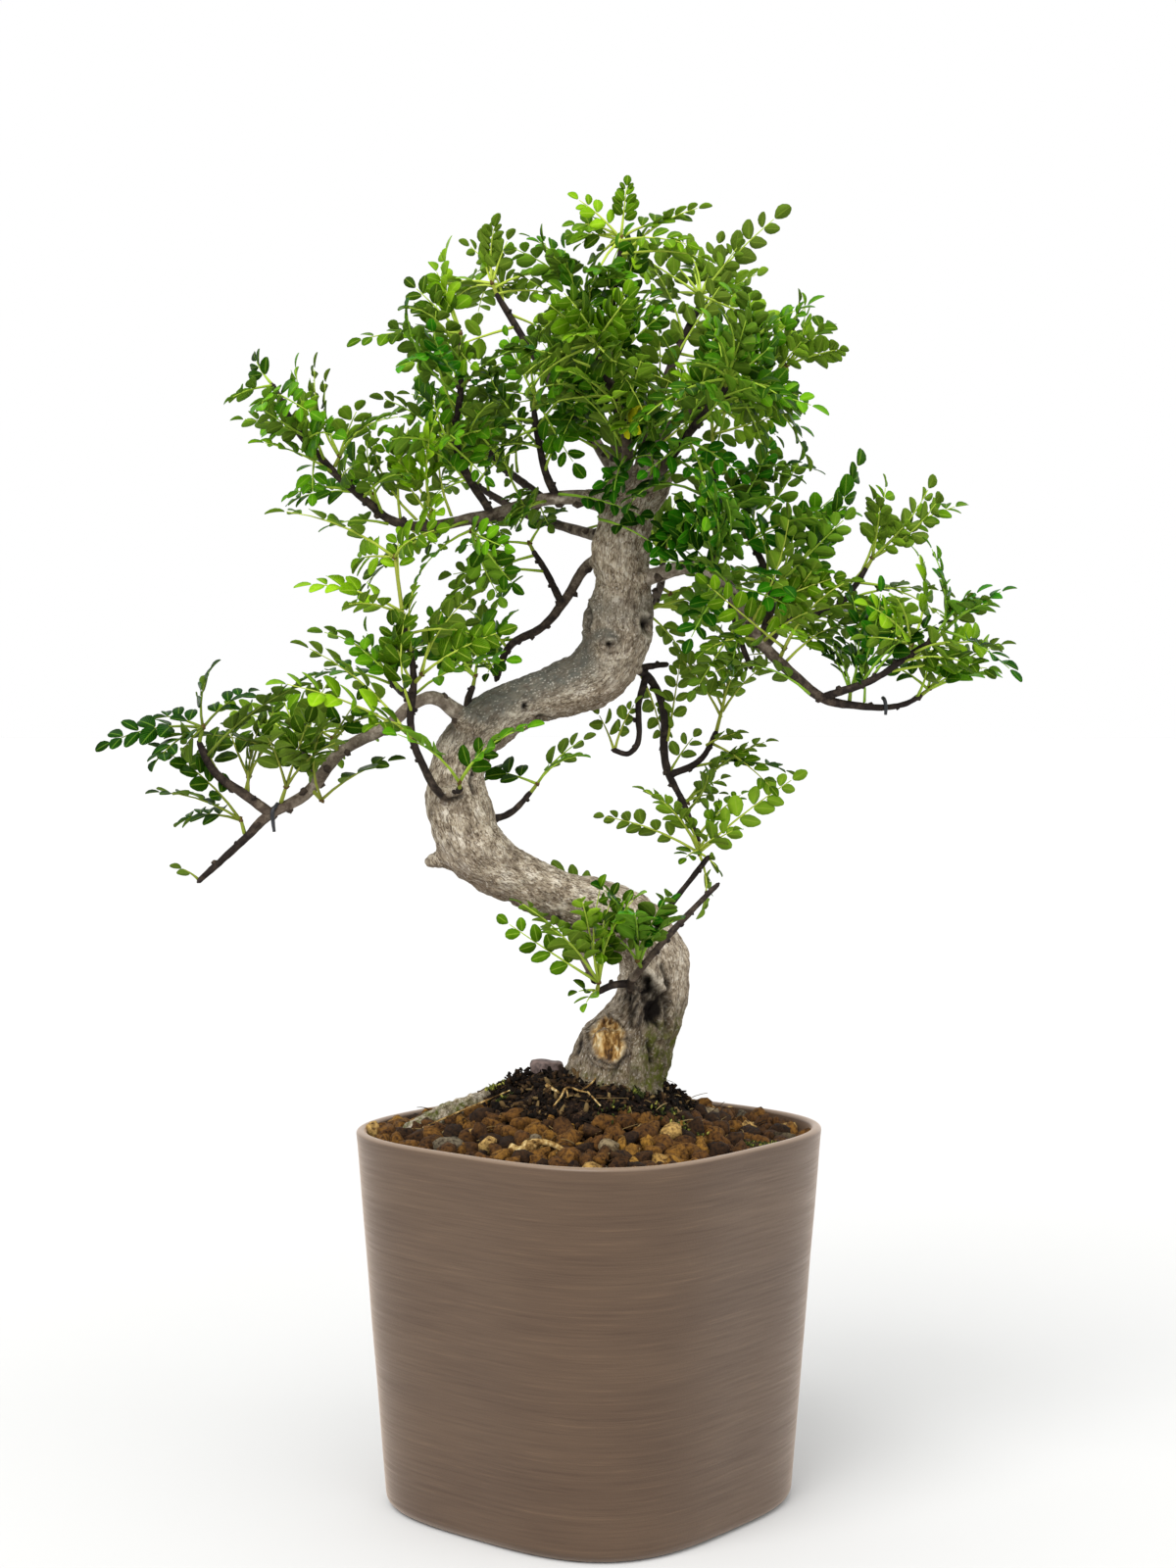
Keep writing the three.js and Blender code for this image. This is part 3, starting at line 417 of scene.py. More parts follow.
relief = add(tree, "Math", [grit, 0.25, streaks], operation="MULTIPLY_ADD")
bump = add(tree, "Bump", {"Height": relief, "Strength": 0.5, "Distance": 0.35 * MM})
feed(shader, Base_Color=worn, Roughness=rub, Normal=bump)
add_piece("planter", drilled, slip, "pot", "pot")

# %% [markdown]
# ## The soil
# The tree stands on a mound of dark peat, and brown clay grains cover the rest. The soil's top is a
# grid that is pulled out to the pot's inside and lifted to the mound's height, with noise for its
# crumbs. It is closed down to the pot's floor, because the drain holes show its underside.
# %% Soil: the lie of the surface
SOIL_LEVEL = 166
HEAP_HEIGHT = 32
HEAP_CENTRE = 8
HEAP_LEFT = 45
HEAP_RIGHT = 28
HEAP_DEPTH = 34
BARE_CENTRE = 1
BARE_RADIUS = 43
BARE_STRETCH = 1.12
SOIL_GRID = 170
UNDER_GRAINS = 3.4
WALL_DIP = 1.2
DIP_FROM, DIP_TO = 60, 90


def heap_height(x, y):
    across = (x - HEAP_CENTRE) / np.where(x < HEAP_CENTRE, HEAP_LEFT, HEAP_RIGHT)
    return SOIL_LEVEL + HEAP_HEIGHT * np.exp(-(across**2 + (y / HEAP_DEPTH) ** 2) / 2)


def bareness(x, y):
    """1 on the bare peat round the trunk, and 0 under the grains, with a ragged edge."""
    wander = noise_at(np.stack([x, y, 0 * x], 1), 14, 4) * 7
    return 1 - smooth_step(-3, 4, np.hypot((x - BARE_CENTRE) / BARE_STRETCH, y) + wander - BARE_RADIUS)


def bare_at(x, y):
    """The bareness at one place."""
    return bareness(np.array([x]), np.array([y]))[0]


bm = bmesh.new()
bmesh.ops.create_grid(bm, x_segments=SOIL_GRID, y_segments=SOIL_GRID, size=1)
rim = [edge for edge in bm.edges if edge.is_boundary]
flat = np.array([vert.co for vert in bm.verts])
angle = np.arctan2(flat[:, 1], flat[:, 0]) + POT_TURN
reach = np.abs(flat[:, :2]).max(1) * square_factor(angle) * (inner_half(SOIL_LEVEL) - GAP)
x, y = reach * np.cos(angle), reach * np.sin(angle)
bare = bareness(x, y)
points = np.stack([x, y, heap_height(x, y)], 1)
crumbs = layered_noise(points, (1.5, 6.5, 1), (0.9, 2.6, 2), (0.45, 1.2, 3))
dip = WALL_DIP * smooth_step(DIP_FROM, DIP_TO, reach)
points[:, 2] += crumbs * (0.5 + 0.8 * bare) - UNDER_GRAINS * (1 - bare) - dip
for vert, place in zip(bm.verts, points):
    vert.co = Vector(place) * MM
skirt = bmesh.ops.extrude_edge_only(bm, edges=rim)["geom"]
for vert in (v for v in skirt if isinstance(v, bmesh.types.BMVert)):
    shrink = (inner_half(POT_FLOOR) - 6) / (inner_half(SOIL_LEVEL) - GAP)
    vert.co = Vector((vert.co.x * shrink, vert.co.y * shrink, (POT_FLOOR + GAP) * MM))
bmesh.ops.holes_fill(bm, edges=[edge for edge in bm.edges if edge.is_boundary], sides=0)
soil_mesh = finished(bm, "peat", outward=True)

# %% [markdown]
# ### Moist peat
# Peat is nearly black when moist, matt, and full of brown fibres of about a millimetre. Two sizes of
# noise mix the black with red-brown, and a strong bump breaks up what little light it returns.
# %% Soil: finish
peat, tree, shader = start_material("moist_peat", Roughness=0.95, Specular_IOR_Level=0.15)
place = add(tree, "TexCoord", out="Object")
fibres = add(
    tree, "TexNoise",
    {"Vector": place, "Scale": 1100, "Detail": 6, "Roughness": 0.7, "Distortion": 1.5}
)
clumps = add(tree, "TexNoise", {"Vector": place, "Scale": 210, "Detail": 4})
mixed = add(tree, "Math", [clumps, 0.5, fibres], operation="MULTIPLY_ADD")
peat_tone = add(
    tree, "ValToRGB", {"Fac": mixed},
    ((0.6, "#0a0604"), (0.76, "#1b110b"), (0.86, "#38251a"), (0.96, "#7a6142"))
)
bump = add(tree, "Bump", {"Height": fibres, "Strength": 1.0, "Distance": 1.2 * MM})
feed(shader, Base_Color=peat_tone, Normal=bump)
add_piece("peat", soil_mesh, peat, "soil", "soil")

# %% [markdown]
# ### Peat crumbs and pale fibres
# The mound's edge against the light is what shows that it is loose: torn crumbs and fibres stand out
# of it. Each is a stretched copy of a rough lump or of one straw, bent and turned at random. The
# same straw serves later as the stalk of every frond.
# %% Peat: crumbs
def rough_lump(rough, seed):
    bm = bmesh.new()
    bmesh.ops.create_icosphere(bm, subdivisions=1, radius=1)
    for vert in bm.verts:
        vert.co *= 1 + rough * noise.noise(vert.co * 1.7 + Vector((seed, seed, 0)))
    return template(bm)


def straw():
    """A straight tapering fibre with five sides, of unit length along X."""
    bm = bmesh.new()
    bmesh.ops.create_cone(bm, cap_ends=True, segments=5, radius1=1, radius2=0.5, depth=1)
    along = [e for e in bm.edges if abs(e.verts[0].co.z - e.verts[1].co.z) > 0.5]
    bmesh.ops.subdivide_edges(bm, edges=along, cuts=4, use_grid_fill=True)
    for vert in bm.verts:
        share = vert.co.z + 0.5
        vert.co = Vector((share, vert.co.x, vert.co.y))
    return template(bm)


def picked(shapes, draws):
    """One of several templates, by a random draw."""
    return shapes[int(next(draws) * len(shapes))]


def turned(points, size, draws):
    """Points scaled to a size and turned by three random draws."""
    return (points * size) @ rotation(*[(axis, ANY_TURN * next(draws)) for axis in "ZXY"])


def scatter(count, draws, inner, outer):
    """Random places on the filling, past inner mm from its bare middle, up to a share of its width."""
    places = []
    while len(places) < count:
        u, v = 2 * next(draws) - 1, 2 * next(draws) - 1
        angle = math.atan2(v, u) + POT_TURN
        reach = max(abs(u), abs(v)) * square_factor(angle) * inner_half(SOIL_LEVEL)
        x, y = reach * math.cos(angle), reach * math.sin(angle)
        if math.hypot(x - BARE_CENTRE, y) >= inner and max(abs(u), abs(v)) <= outer:
            places.append((x, y))
    return places


CRUMB_TRIES = 5200
FOOT_MIDDLE = 11
FOOT_CLEAR = 19
lumps = [rough_lump(0.8, seed) for seed in (1, 2, 3)]
draws = random_source(SEEDS["crumbs"])
copies = []
for x, y in scatter(CRUMB_TRIES, draws, 0, 0.8):
    size = 0.5 + 1.3 * next(draws) ** 2
    if next(draws) > bare_at(x, y) or math.hypot(x - FOOT_MIDDLE, y) < FOOT_CLEAR:
        continue
    mesh, points = picked(lumps, draws)
    points = turned(points, size * np.array([2.0, 0.75, 0.6]), draws)
    points = points + (x, y, heap_height(x, y) + 0.5 * size + 0.3)
    copies.append((mesh, points, (0.92 * next(draws) ** 1.25, 0, 0, 0)))

# %% Peat: loose heaps of crumbs beside the trunk
for x, y, wide, tall, count in (
    (-22, -4, 8, 5, 90), (-27, 5, 5, 5.5, 60), (-31, 0, 5.5, 9.5, 100), (-37, -1, 7, 9.5, 130),
    (-43, -2, 7, 7.5, 110), (-50, -4, 6, 4.5, 50), (34, -5, 4, 8, 45), (41, 2, 6, 7, 90), (47, 0, 5, 4.5, 40),
):
    core = lumps[0][1] * (0.8 * wide, 0.8 * wide, 0.72 * tall) + (x, y, heap_height(x, y))
    copies.append((lumps[0][0], core, (0.3, 0, 0, 0)))
    for lump in range(count):
        angle, share = ANY_TURN * next(draws), math.sqrt(next(draws))
        px, py = x + wide * share * math.cos(angle), y + wide * share * math.sin(angle)
        mesh, points = picked(lumps, draws)
        size = 0.45 + 0.95 * next(draws) ** 1.5
        points = turned(points, size * np.array([2.2, 0.8, 0.65]), draws)
        rise = tall * (1 - share**2) * (0.35 + 0.6 * next(draws))
        points = points + (px, py, heap_height(px, py) + rise + 0.4)
        copies.append((mesh, points, (0.7 * next(draws), 0, 0, 0)))
crumb_mesh = gathered("peat_crumbs", copies)
print("peat crumbs:", len(copies))

# %% Peat: crumb finish, dark crumbs to pale straw by each crumb's mark
crumb, tree, shader = start_material("peat_crumb", Roughness=0.95, Specular_IOR_Level=0.15)
crumb_tone = add(
    tree, "ValToRGB", {"Fac": read_marks(tree)[0]},
    ((0.0, "#070402"), (0.5, "#180f08"), (0.78, "#45321d"), (0.92, "#74603c"), (1.0, "#a08c60"))
)
feed(shader, Base_Color=crumb_tone)
add_piece("peat_crumbs", crumb_mesh, crumb, "soil")

# %% Peat: pale fibres
FIBRE_COUNT = 420
straw_mesh, straw_points = straw()
straw_bend = np.sin(straw_points[:, 0] * math.pi)
draws = random_source(SEEDS["fibres"])
copies = []
for x, y in scatter(FIBRE_COUNT, draws, 18, 0.8):
    length = 3 + 13 * next(draws) ** 3
    thick = 0.16 + 0.2 * next(draws)
    points = straw_points * (length, thick, thick)
    points[:, 1] += straw_bend * length * 0.35 * (next(draws) - 0.5)
    points[:, 2] += straw_bend * length * 0.2 * next(draws)
    points = points @ rotation(("Z", ANY_TURN * next(draws)), ("Y", 0.15 - 0.6 * next(draws)))
    points = points + (x, y, heap_height(x, y) + 1.0)
    copies.append((straw_mesh, points, (0.35 + 0.65 * next(draws), 0, 0, 0)))
add_piece("pale_fibres", gathered("pale_fibres", copies), crumb, "soil")

# %% [markdown]
# ## The clay grains
# Baked-clay grains of 2 to 13 mm lie over the soil: broken lumps with soft edges, dusty and porous,
# mostly brown, with some orange and ochre and a few grey stones. Five lumps with flattened sides are
# enough, because turning and stretching hide the repeat. The grains are laid from the largest down.
# %% Grains: shapes
def broken_grain(seed):
    """A lump with a few flat broken sides."""
    bm = bmesh.new()
    bmesh.ops.create_icosphere(bm, subdivisions=2, radius=1)
    draws = random_source(seed)
    for cut in range(9):
        side = Vector((next(draws) - 0.5, next(draws) - 0.5, next(draws) - 0.5)).normalized()
        depth = 0.5 + 0.3 * next(draws)
        for vert in bm.verts:
            over = vert.co.dot(side) - depth
            if over > 0:
                vert.co -= side * over * 0.95
    for vert in bm.verts:
        vert.co *= 1.12 + 0.34 * noise.noise(vert.co * 2.3 + Vector((seed, 0, 0)))
    return template(bm)


# %% Grains: laid down
GRAIN_TRIES = 5200
GRAIN_OVERLAP = 0.62
GRAIN_SINK = 2.6
GRAIN_WALL_DIP = 0.6
grain_shapes = [broken_grain(seed) for seed in (3, 5, 8, 13, 21)]
draws = random_source(SEEDS["grains"])
spots = scatter(GRAIN_TRIES, draws, 20, 0.97)
sizes = sorted((1.1 + 4.3 * next(draws) ** 2.6 for spot in spots), reverse=True)
laid = np.zeros((0, 4))
copies = []
for (x, y), size in zip(spots, sizes):
    if bare_at(x, y) > 0.3 + 0.5 * (size < 3):
        continue
    lift = 0.0
    if len(laid):
        apart = np.hypot(laid[:, 0] - x, laid[:, 1] - y) / (laid[:, 2] + size)
        if apart.min() < GRAIN_OVERLAP:
            continue
        lift = 0.5 * np.clip(1 - apart.min(), 0, 0.4) * size
    laid = np.vstack([laid, (x, y, size, lift)])
    mesh, points = picked(grain_shapes, draws)
    stretch = np.array([1.15 + 0.3 * next(draws), 0.95, 0.72 + 0.2 * next(draws)])
    points = turned(points, size * stretch, draws)
    dip = GRAIN_WALL_DIP * smooth_step(DIP_FROM, DIP_TO, math.hypot(x, y))
    points = points + (x, y, heap_height(x, y) - GRAIN_SINK - dip + 0.42 * size + lift)
    copies.append((mesh, points, (next(draws), next(draws), 0, 0)))
print("clay grains:", len(copies))
grain_mesh = gathered("clay_grains", copies)

# %% [markdown]
# ### Baked clay
# The grains are fired only softly: dusty, with no gloss. Each grain's mark picks its colour on a ramp
# from dark brown through rust to ochre and grey, and noise of under a millimetre gives the pores.
# %% Grains: finish
clay, tree, shader = start_material("soft_baked_clay", Roughness=0.88, Specular_IOR_Level=0.2)
place = add(tree, "TexCoord", out="Object")
grain_tone = add(
    tree, "ValToRGB", {"Fac": read_marks(tree)[0]},
    (
        (0.0, "#26170a"), (0.22, "#3e270f"), (0.52, "#5a3a15"), (0.76, "#704c1b"), (0.88, "#916926"),
        (0.95, "#b8975a"), (0.98, "#746a57"), (1.0, "#4f4430")
    )
)
pores = add(tree, "TexNoise", {"Vector": place, "Scale": 520, "Detail": 5, "Roughness": 0.65})
pore_tone = add(tree, "ValToRGB", {"Fac": pores}, ((0.34, "#5c4c42"), (0.6, "#ffffff")))
mottled = add(
    tree, "Mix", {SHARE: 1.0, UNDER: grain_tone, OVER: pore_tone},
    data_type="RGBA", blend_type="MULTIPLY"
)
bump = add(tree, "Bump", {"Height": pores, "Strength": 0.8, "Distance": 0.7 * MM})
feed(shader, Base_Color=mottled, Normal=bump)
add_piece("clay_grains", grain_mesh, clay, "gravel", "gravel")

# %% [markdown]
# ## The flat stone
# One flat purple-brown flake of slate lies on the mound behind the trunk's foot. It is a low drum
# with a bevelled edge and a little noise, set where the solid model has it.
# %% Flat stone
low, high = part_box("flat_stone")
middle, half = (low + high) / 2, (high - low) / 2
bm = bmesh.new()
bmesh.ops.create_cone(bm, cap_ends=True, segments=7, radius1=1.25, radius2=1.1, depth=2.1)
bmesh.ops.bevel(
    bm, geom=bm.edges[:], offset=0.3, segments=4, affect="EDGES", profile=0.5, material=-1, clamp_overlap=True
)
bmesh.ops.triangulate(bm, faces=[face for face in bm.faces if len(face.verts) > 4])
bmesh.ops.subdivide_edges(bm, edges=bm.edges[:], cuts=2, use_grid_fill=True)
for vert in bm.verts:
    vert.co *= 1 + 0.16 * noise.noise(vert.co * 1.6)
    vert.co.z += 0.1 - 0.28 * vert.co.x
    vert.co = Vector([m + h * c for m, h, c in zip(middle, half, vert.co)])
stone_mesh = finished(bm, "slate_flake", outward=True)
slate, tree, shader = start_material("purple_slate", Roughness=0.75)
place = add(tree, "TexCoord", out="Object")
bands = add(tree, "TexNoise", {"Vector": place, "Scale": 330, "Detail": 5, "Roughness": 0.6})
slate_tone = add(tree, "ValToRGB", {"Fac": bands}, ((0.35, "#3a2d29"), (0.65, "#75625c")))
bump = add(tree, "Bump", {"Height": bands, "Strength": 0.6, "Distance": 0.5 * MM})
feed(shader, Base_Color=slate_tone, Normal=bump)
add_piece("slate_flake", stone_mesh, slate, "flat_stone", "flat_stone")

# %% [markdown]
# ## The wood
# The trunk, its limbs and one thick surface root grew as one piece. The trunk swells, pinches and
# twists, with healed knots, torn bark and one fresh pruning cut, while twigs are plain tapering
# rods with buds. So a chain of round curves gives the tree its routes, the thick parts are melted
# into one skin by a voxel remesh and then carved, and the twigs stay as smooth tubes.
# %% Wood: the trunk's route, x, y, z and radius in mm
TRUNK = [
    (10, 2, 128, 15), (10, 1, 160, 22), (11, 0, 184, 25), (13, 0, 196, 22.5), (17, 0, 211, 22),
    (23, -1, 225, 20.5), (28, -2, 238, 18), (27, -4, 251, 16), (18, -6, 263, 15), (1, -9, 271, 14),
    (-18, -13, 278, 12.5), (-36, -16, 287, 12.5), (-50, -18, 297, 14.5), (-57, -18, 311, 15),
    (-60, -15, 327, 13.5), (-56, -10, 343, 12.5), (-46, -4, 355, 13), (-30, 2, 364, 12),
    (-12, 7, 370, 13), (4, 10, 378, 15), (12, 9, 391, 15.3), (14, 7, 404, 15.5), (15, 3, 418, 12.5),
    (14, -1, 433, 13), (18, -5, 450, 12.5), (26, -6, 463, 10.5), (30, -6, 471, 9),
]

# %% Wood: each limb's route from where it leaves the wood that carries it
BRANCHES = {
    "upper_left": [(13, -4, 455, 4.6), (-15, -8, 456, 3.1), (-50, -12, 447, 2.7), (-85, -16, 444, 2.2),
        (-101, -20, 455, 1.9), (-121, -24, 474, 1.9), (-131, -25, 487, 1.6), (-140, -27, 504, 1.2)],
    "upper_left_inner": [(-15, -8, 456, 2), (-20, -11, 468, 1.8), (-25, -18, 495, 1.2)],
    "upper_left_back": [(-20, -8, 455, 2), (-34, 8, 467, 1.8), (-44, 22, 476, 1.6), (-51, 35, 491, 1.2)],
    "upper_left_rise": [(-44, -11, 448, 2), (-59, -22, 477, 1.8), (-57, -28, 503, 1.4),
        (-57, -26, 523, 1.1)],
    "back_left": [(10, 8, 431, 3.4), (-1, 18, 427, 2.6), (-11, 20, 412, 2.3), (-22, 20, 399, 2),
        (-37, 20, 390, 1.8), (-43, 18, 375, 1.4)],
    "back_left_side": [(-13, 20, 410, 1.7), (-21, 24, 426, 1.5), (-26, 28, 434, 1.2)],
    "lower_left": [(-52, -14, 353, 5), (-61, -20, 361, 3.6), (-70, -24, 366, 3), (-77, -26, 364, 2.8),
        (-89, -28, 354, 2.8), (-110, -31, 342, 2.8), (-126, -33, 323, 2.7), (-142, -34, 314, 2.4),
        (-152, -34, 304, 1.9), (-173, -32, 285, 1.2)],
    "lower_left_up": [(-141, -34, 315, 2.5), (-150, -36, 322, 2.2), (-165, -40, 334, 1.9),
        (-171, -42, 346, 1.4)],
    "lower_left_back": [(-120, -32, 330, 2), (-126, -12, 336, 1.6), (-132, 6, 344, 1.2)],
    "lower_left_rear": [(-77, -26, 364, 2.2), (-84, -4, 368, 1.8), (-92, 18, 374, 1.3)],
    "left_rise": [(-58, -24, 320, 2.6), (-67, -36, 325, 1.9), (-73, -40, 336, 1.8), (-78, -43, 351, 1.6),
        (-77, -44, 377, 1.5), (-81, -44, 397, 1.3)],
    "left_knuckle": [(-51, -6, 352, 3.4), (-55, -6, 364, 1.9), (-53, -4, 371, 1.3)],
    "inner": [(-48, -12, 311, 2), (-36, -2, 314, 1.5), (-27, 0, 323, 1.1)],
    "front_of_bend": [(-60, -18, 325, 2.4), (-58, -36, 325, 1.6), (-57, -40, 326, 1.4)],
    "hanging": [(14, 12, 385, 3.6), (23, 26, 379, 2.7), (29, 32, 374, 2.4), (34, 36, 363, 2.3),
        (36, 38, 334, 2.3), (44, 36, 317, 1.8), (51, 32, 299, 1.3)],
    "hanging_inner": [(26, 28, 376, 1.8), (23, 24, 365, 1.5), (19, 19, 341, 1.3), (11, 16, 342, 1.1)],
    "hanging_side": [(38, 37.5, 330, 1.8), (52, 42, 337, 1.4), (60, 48, 350, 1.2)],
    "hanging_stub": [(20, 22, 380, 1.7), (36, 34, 382, 1.2)],
    "foot_front": [(22, -12, 234, 2.6), (18, -22, 238, 2), (23, -28, 246, 1.7), (38, -30, 264, 1.5),
        (57, -26, 283, 1.1)],
    "foot_front_side": [(19, -20, 238, 1.8), (10, -26, 238, 1.7), (3, -29, 235, 1.3)],
    "foot_left": [(-10, -11, 265, 2.2), (-7, -20, 258, 1.8), (2, -27, 240, 1.3)],
    "foot_right": [(25, 2, 257, 2.2), (38, 18, 271, 1.5), (55, 24, 292, 1.2)],
    "right": [(19, 0, 419, 5), (28, -6, 421, 3.6), (51, -18, 424, 3.1), (60, -22, 417, 3),
        (75, -25, 392, 2.7), (94, -27, 373, 2.3), (103, -28, 366, 2.2), (115, -28, 363, 1.8),
        (139, -26, 363, 1.3), (147, -25, 367, 1.1)],
    "right_far": [(103, -28, 366, 1.8), (126, -40, 375, 1.6), (137, -45, 383, 1.4), (151, -48, 392, 1.1)],
    "right_rise": [(51, -18, 424, 2.2), (57, -12, 430, 2), (55, -6, 458, 1.6), (56, -6, 469, 1.3)],
    "right_inner": [(76, -25, 391, 2.1), (82, -6, 414, 1.8), (73, 6, 439, 1.3)],
    "right_back": [(78, -25, 389, 2), (94, 8, 404, 1.7), (114, 22, 408, 1.5), (128, 24, 426, 1.2)],
    "right_droop": [(62, -22, 415, 1.8), (67, -8, 395, 1.4), (73, -2, 380, 1.1)],
    "crown_middle": [(14, -4, 458, 4.6), (12, -6, 473, 3.2), (13, -8, 490, 2.6), (12, -7, 512, 2.2),
        (6, -3, 528, 1.8), (0, 2, 543, 1.3)],
    "crown_peak": [(7, -4, 526, 1.6), (10, -8, 542, 1.4), (14, -12, 568, 1.1)],
    "crown_right": [(24, -2, 461, 3.6), (31, 6, 482, 2.7), (44, 10, 496, 2.3), (73, 12, 508, 1.8),
        (86, 10, 515, 1.3)],
    "crown_right_back": [(21, 4, 462, 3.2), (29, 28, 495, 2.5), (40, 44, 526, 2), (52, 50, 552, 1.4)],
    "crown_left_back": [(17, 4, 460, 3.2), (1, 32, 488, 2.6), (-18, 48, 515, 2.1), (-44, 50, 557, 1.3)],
    "crown_front": [(15, -12, 457, 3.2), (16, -40, 478, 2.3), (10, -54, 497, 1.9), (3, -60, 513, 1.3)],
    "crown_front_right": [(24, -10, 457, 3), (38, -38, 475, 2.1), (58, -62, 498, 1.3)],
    "back_right": [(14, 14, 398, 3.2), (26, 46, 408, 2.5), (34, 72, 420, 2), (36, 92, 436, 1.4)],
    "back_upper": [(12, 4, 438, 3), (-10, 38, 446, 2.4), (-34, 62, 456, 1.9), (-56, 74, 470, 1.3)],
    "root_left": [(2, 4, 180, 12), (-20, 6, 187, 5), (-38, 5, 186, 4), (-58, 2, 180, 3.8),
        (-76, 0, 173.5, 3.5), (-85, -2, 167, 2.6)],
    "cut_scar": [(12, -12, 210, 9), (8, -20, 210, 9), (7, -22, 210, 7.5)],
    "bend_stub": [(-55, -16, 297, 8), (-66, -17, 293, 5), (-73, -17, 291, 4)],
}

# %% Wood: round curves through the routes
def limbs(name, routes, rings, sides):
    """One mesh of smooth round limbs along routes of points (x, y, z, radius) in mm."""
    data = bpy.data.curves.new(name, "CURVE")
    data.dimensions = "3D"
    data.bevel_depth = MM
    data.bevel_resolution = (sides - 4) // 2
    data.use_fill_caps = True
    data.resolution_u = rings
    for route in routes:
        spline = data.splines.new("BEZIER")
        spline.radius_interpolation = "CARDINAL"
        spline.bezier_points.add(len(route) - 1)
        for knot, (x, y, z, radius) in zip(spline.bezier_points, route):
            knot.co = Vector((x, y, z)) * MM
            knot.radius = radius
            knot.handle_left_type = knot.handle_right_type = "AUTO"
    return applied(bpy.data.objects.new(name, data))


def stations(route, spacing):
    """Places and radii about every spacing mm along a route, smoothed through its points."""
    row = np.array([route[0], *route, route[-1]], dtype=float)
    places = []
    for a, b, c, d in zip(row, row[1:], row[2:], row[3:]):
        steps = max(2, int(np.linalg.norm(c[:3] - b[:3]) / spacing))
        t = (np.arange(steps) / steps)[:, None]
        bend = (2 * a - 5 * b + 4 * c - d) * t**2 + (3 * b - a - 3 * c + d) * t**3
        places.append(b + ((c - a) * t + bend) / 2)
    return np.concatenate(places + [row[-1:]])


# %% [markdown]
# ### Thick wood: one skin
# Limbs more than about 4 mm thick leave the trunk through a collar, a short flare that the trunk grew
# round them. Each collar is the start of the limb's own route, widened. Trunk, root, stubs and
# collars overlap, and the voxel remesh melts them into one closed skin with soft joints.
# %% Thick wood: melt the parts together
VOXEL = 0.94
COLLAR_RADIUS = 2.2
COLLAR_LENGTH = 18
TRUNK_REACH = 14
MELTED = ("root_left", "cut_scar", "bend_stub")


def collar(route):
    """The flared first part of a limb, inside its own tube again at the far end."""
    start, end = np.array(route[0]), np.array(route[1])
    share = min(COLLAR_LENGTH / np.linalg.norm((end - start)[:3]), 1)
    reach = [start + (end - start) * (share * step) for step in (0, 0.4, 0.75, 1)]
    flare = (2.6, 2.0, 0.5, -0.4)
    return [(*row[:3], row[3] + extra) for row, extra in zip(reach, flare)]


on_trunk = [
    route for name, route in BRANCHES.items()
    if name not in MELTED and route[0][3] >= COLLAR_RADIUS
    and np.linalg.norm(stations(TRUNK, 4)[:, :3] - route[0][:3], axis=1).min() < TRUNK_REACH
]
surface_root = [
    (2, 4, 180, 12), (-20, 4, 186.5, 5.6), (-38, 1, 185.5, 4.9), (-56, -4, 180, 4.8),
    (-74, -8, 173.5, 4.6), (-83, -12, 169, 4.0), (-86, -14, 162, 3.0),
]
spur = [(-55, -16, 297, 8), (-66, -17, 293.5, 4.6), (-72, -17, 293, 2.2), (-74, -17, 293.3, 1.0)]
bm = bmesh.new()
bm.from_mesh(limbs("thick_wood", [TRUNK, surface_root, BRANCHES["cut_scar"], spur], 12, 24))
bm.from_mesh(limbs("collars", [collar(route) for route in on_trunk], 6, 16))
for x, y, z, size in ((22, 2, 400, 7), (8, -3, 391, 7), (-30, -5, 364, 7), (-20, 0, 360, 5)):
    bmesh.ops.create_icosphere(
        bm, subdivisions=2, radius=size * MM, matrix=Matrix.Translation(Vector((x, y, z)) * MM)
    )
blank = bpy.data.objects.new("blank", finished(bm, "thick_wood"))
melt = blank.modifiers.new("melt", "REMESH")
melt.mode = "VOXEL"
melt.voxel_size = VOXEL * MM
soften = blank.modifiers.new("soften", "SMOOTH")
soften.factor = 0.5
soften.iterations = 5
wood_mesh = applied(blank)
print("collars:", len(on_trunk), " points in the skin:", len(wood_mesh.vertices))

# %% [markdown]
# ### Thick wood: lengthwise grain
# Bark splits along the stem, so its pattern needs coordinates that run with the trunk, not with the
# world. For each point the nearest place on the trunk's middle line gives how far along it is, and
# two directions that are carried along the line without twisting give where it is around it. The
# foot is first pinched on its left above the cut, where the twig in front of it stands clear.
# %% Thick wood: grain coordinates
def nearest_rows(points, line):
    """The number of the place on a line that is nearest to each point."""
    return np.concatenate([
        np.linalg.norm(part[:, None, :] - line[None, :, :3], axis=2).argmin(1)
        for part in np.array_split(points, 60)
    ])


line = stations(TRUNK, 1.5)
ahead = np.gradient(line[:, :3], axis=0)
ahead /= np.linalg.norm(ahead, axis=1)[:, None]
out = np.cross(ahead[0], (0, 1, 0))
sides = []
for way in ahead:
    out = unit(out - way * out.dot(way))
    sides.append(out)
sides = np.array(sides)
others = np.cross(ahead, sides)
steps = np.linalg.norm(np.diff(line[:, :3], axis=0), axis=1)
travelled = np.concatenate([[0], np.cumsum(steps)])

skin = vectors_of(wood_mesh) / MM
pinch = bell(skin[:, 2] - 230.5, 12) * (1 - smooth_step(2, 25, skin[:, 0]))
skin[:, 0] += 9.3 * pinch * smooth_step(-24, -13, skin[:, 1])
nearest = nearest_rows(skin, line)
offset = skin - line[nearest, :3]
grain = np.stack([
    (offset * sides[nearest]).sum(1), (offset * others[nearest]).sum(1),
    travelled[nearest] + (offset * ahead[nearest]).sum(1)
], 1)
normals = vectors_of(wood_mesh, "normal")
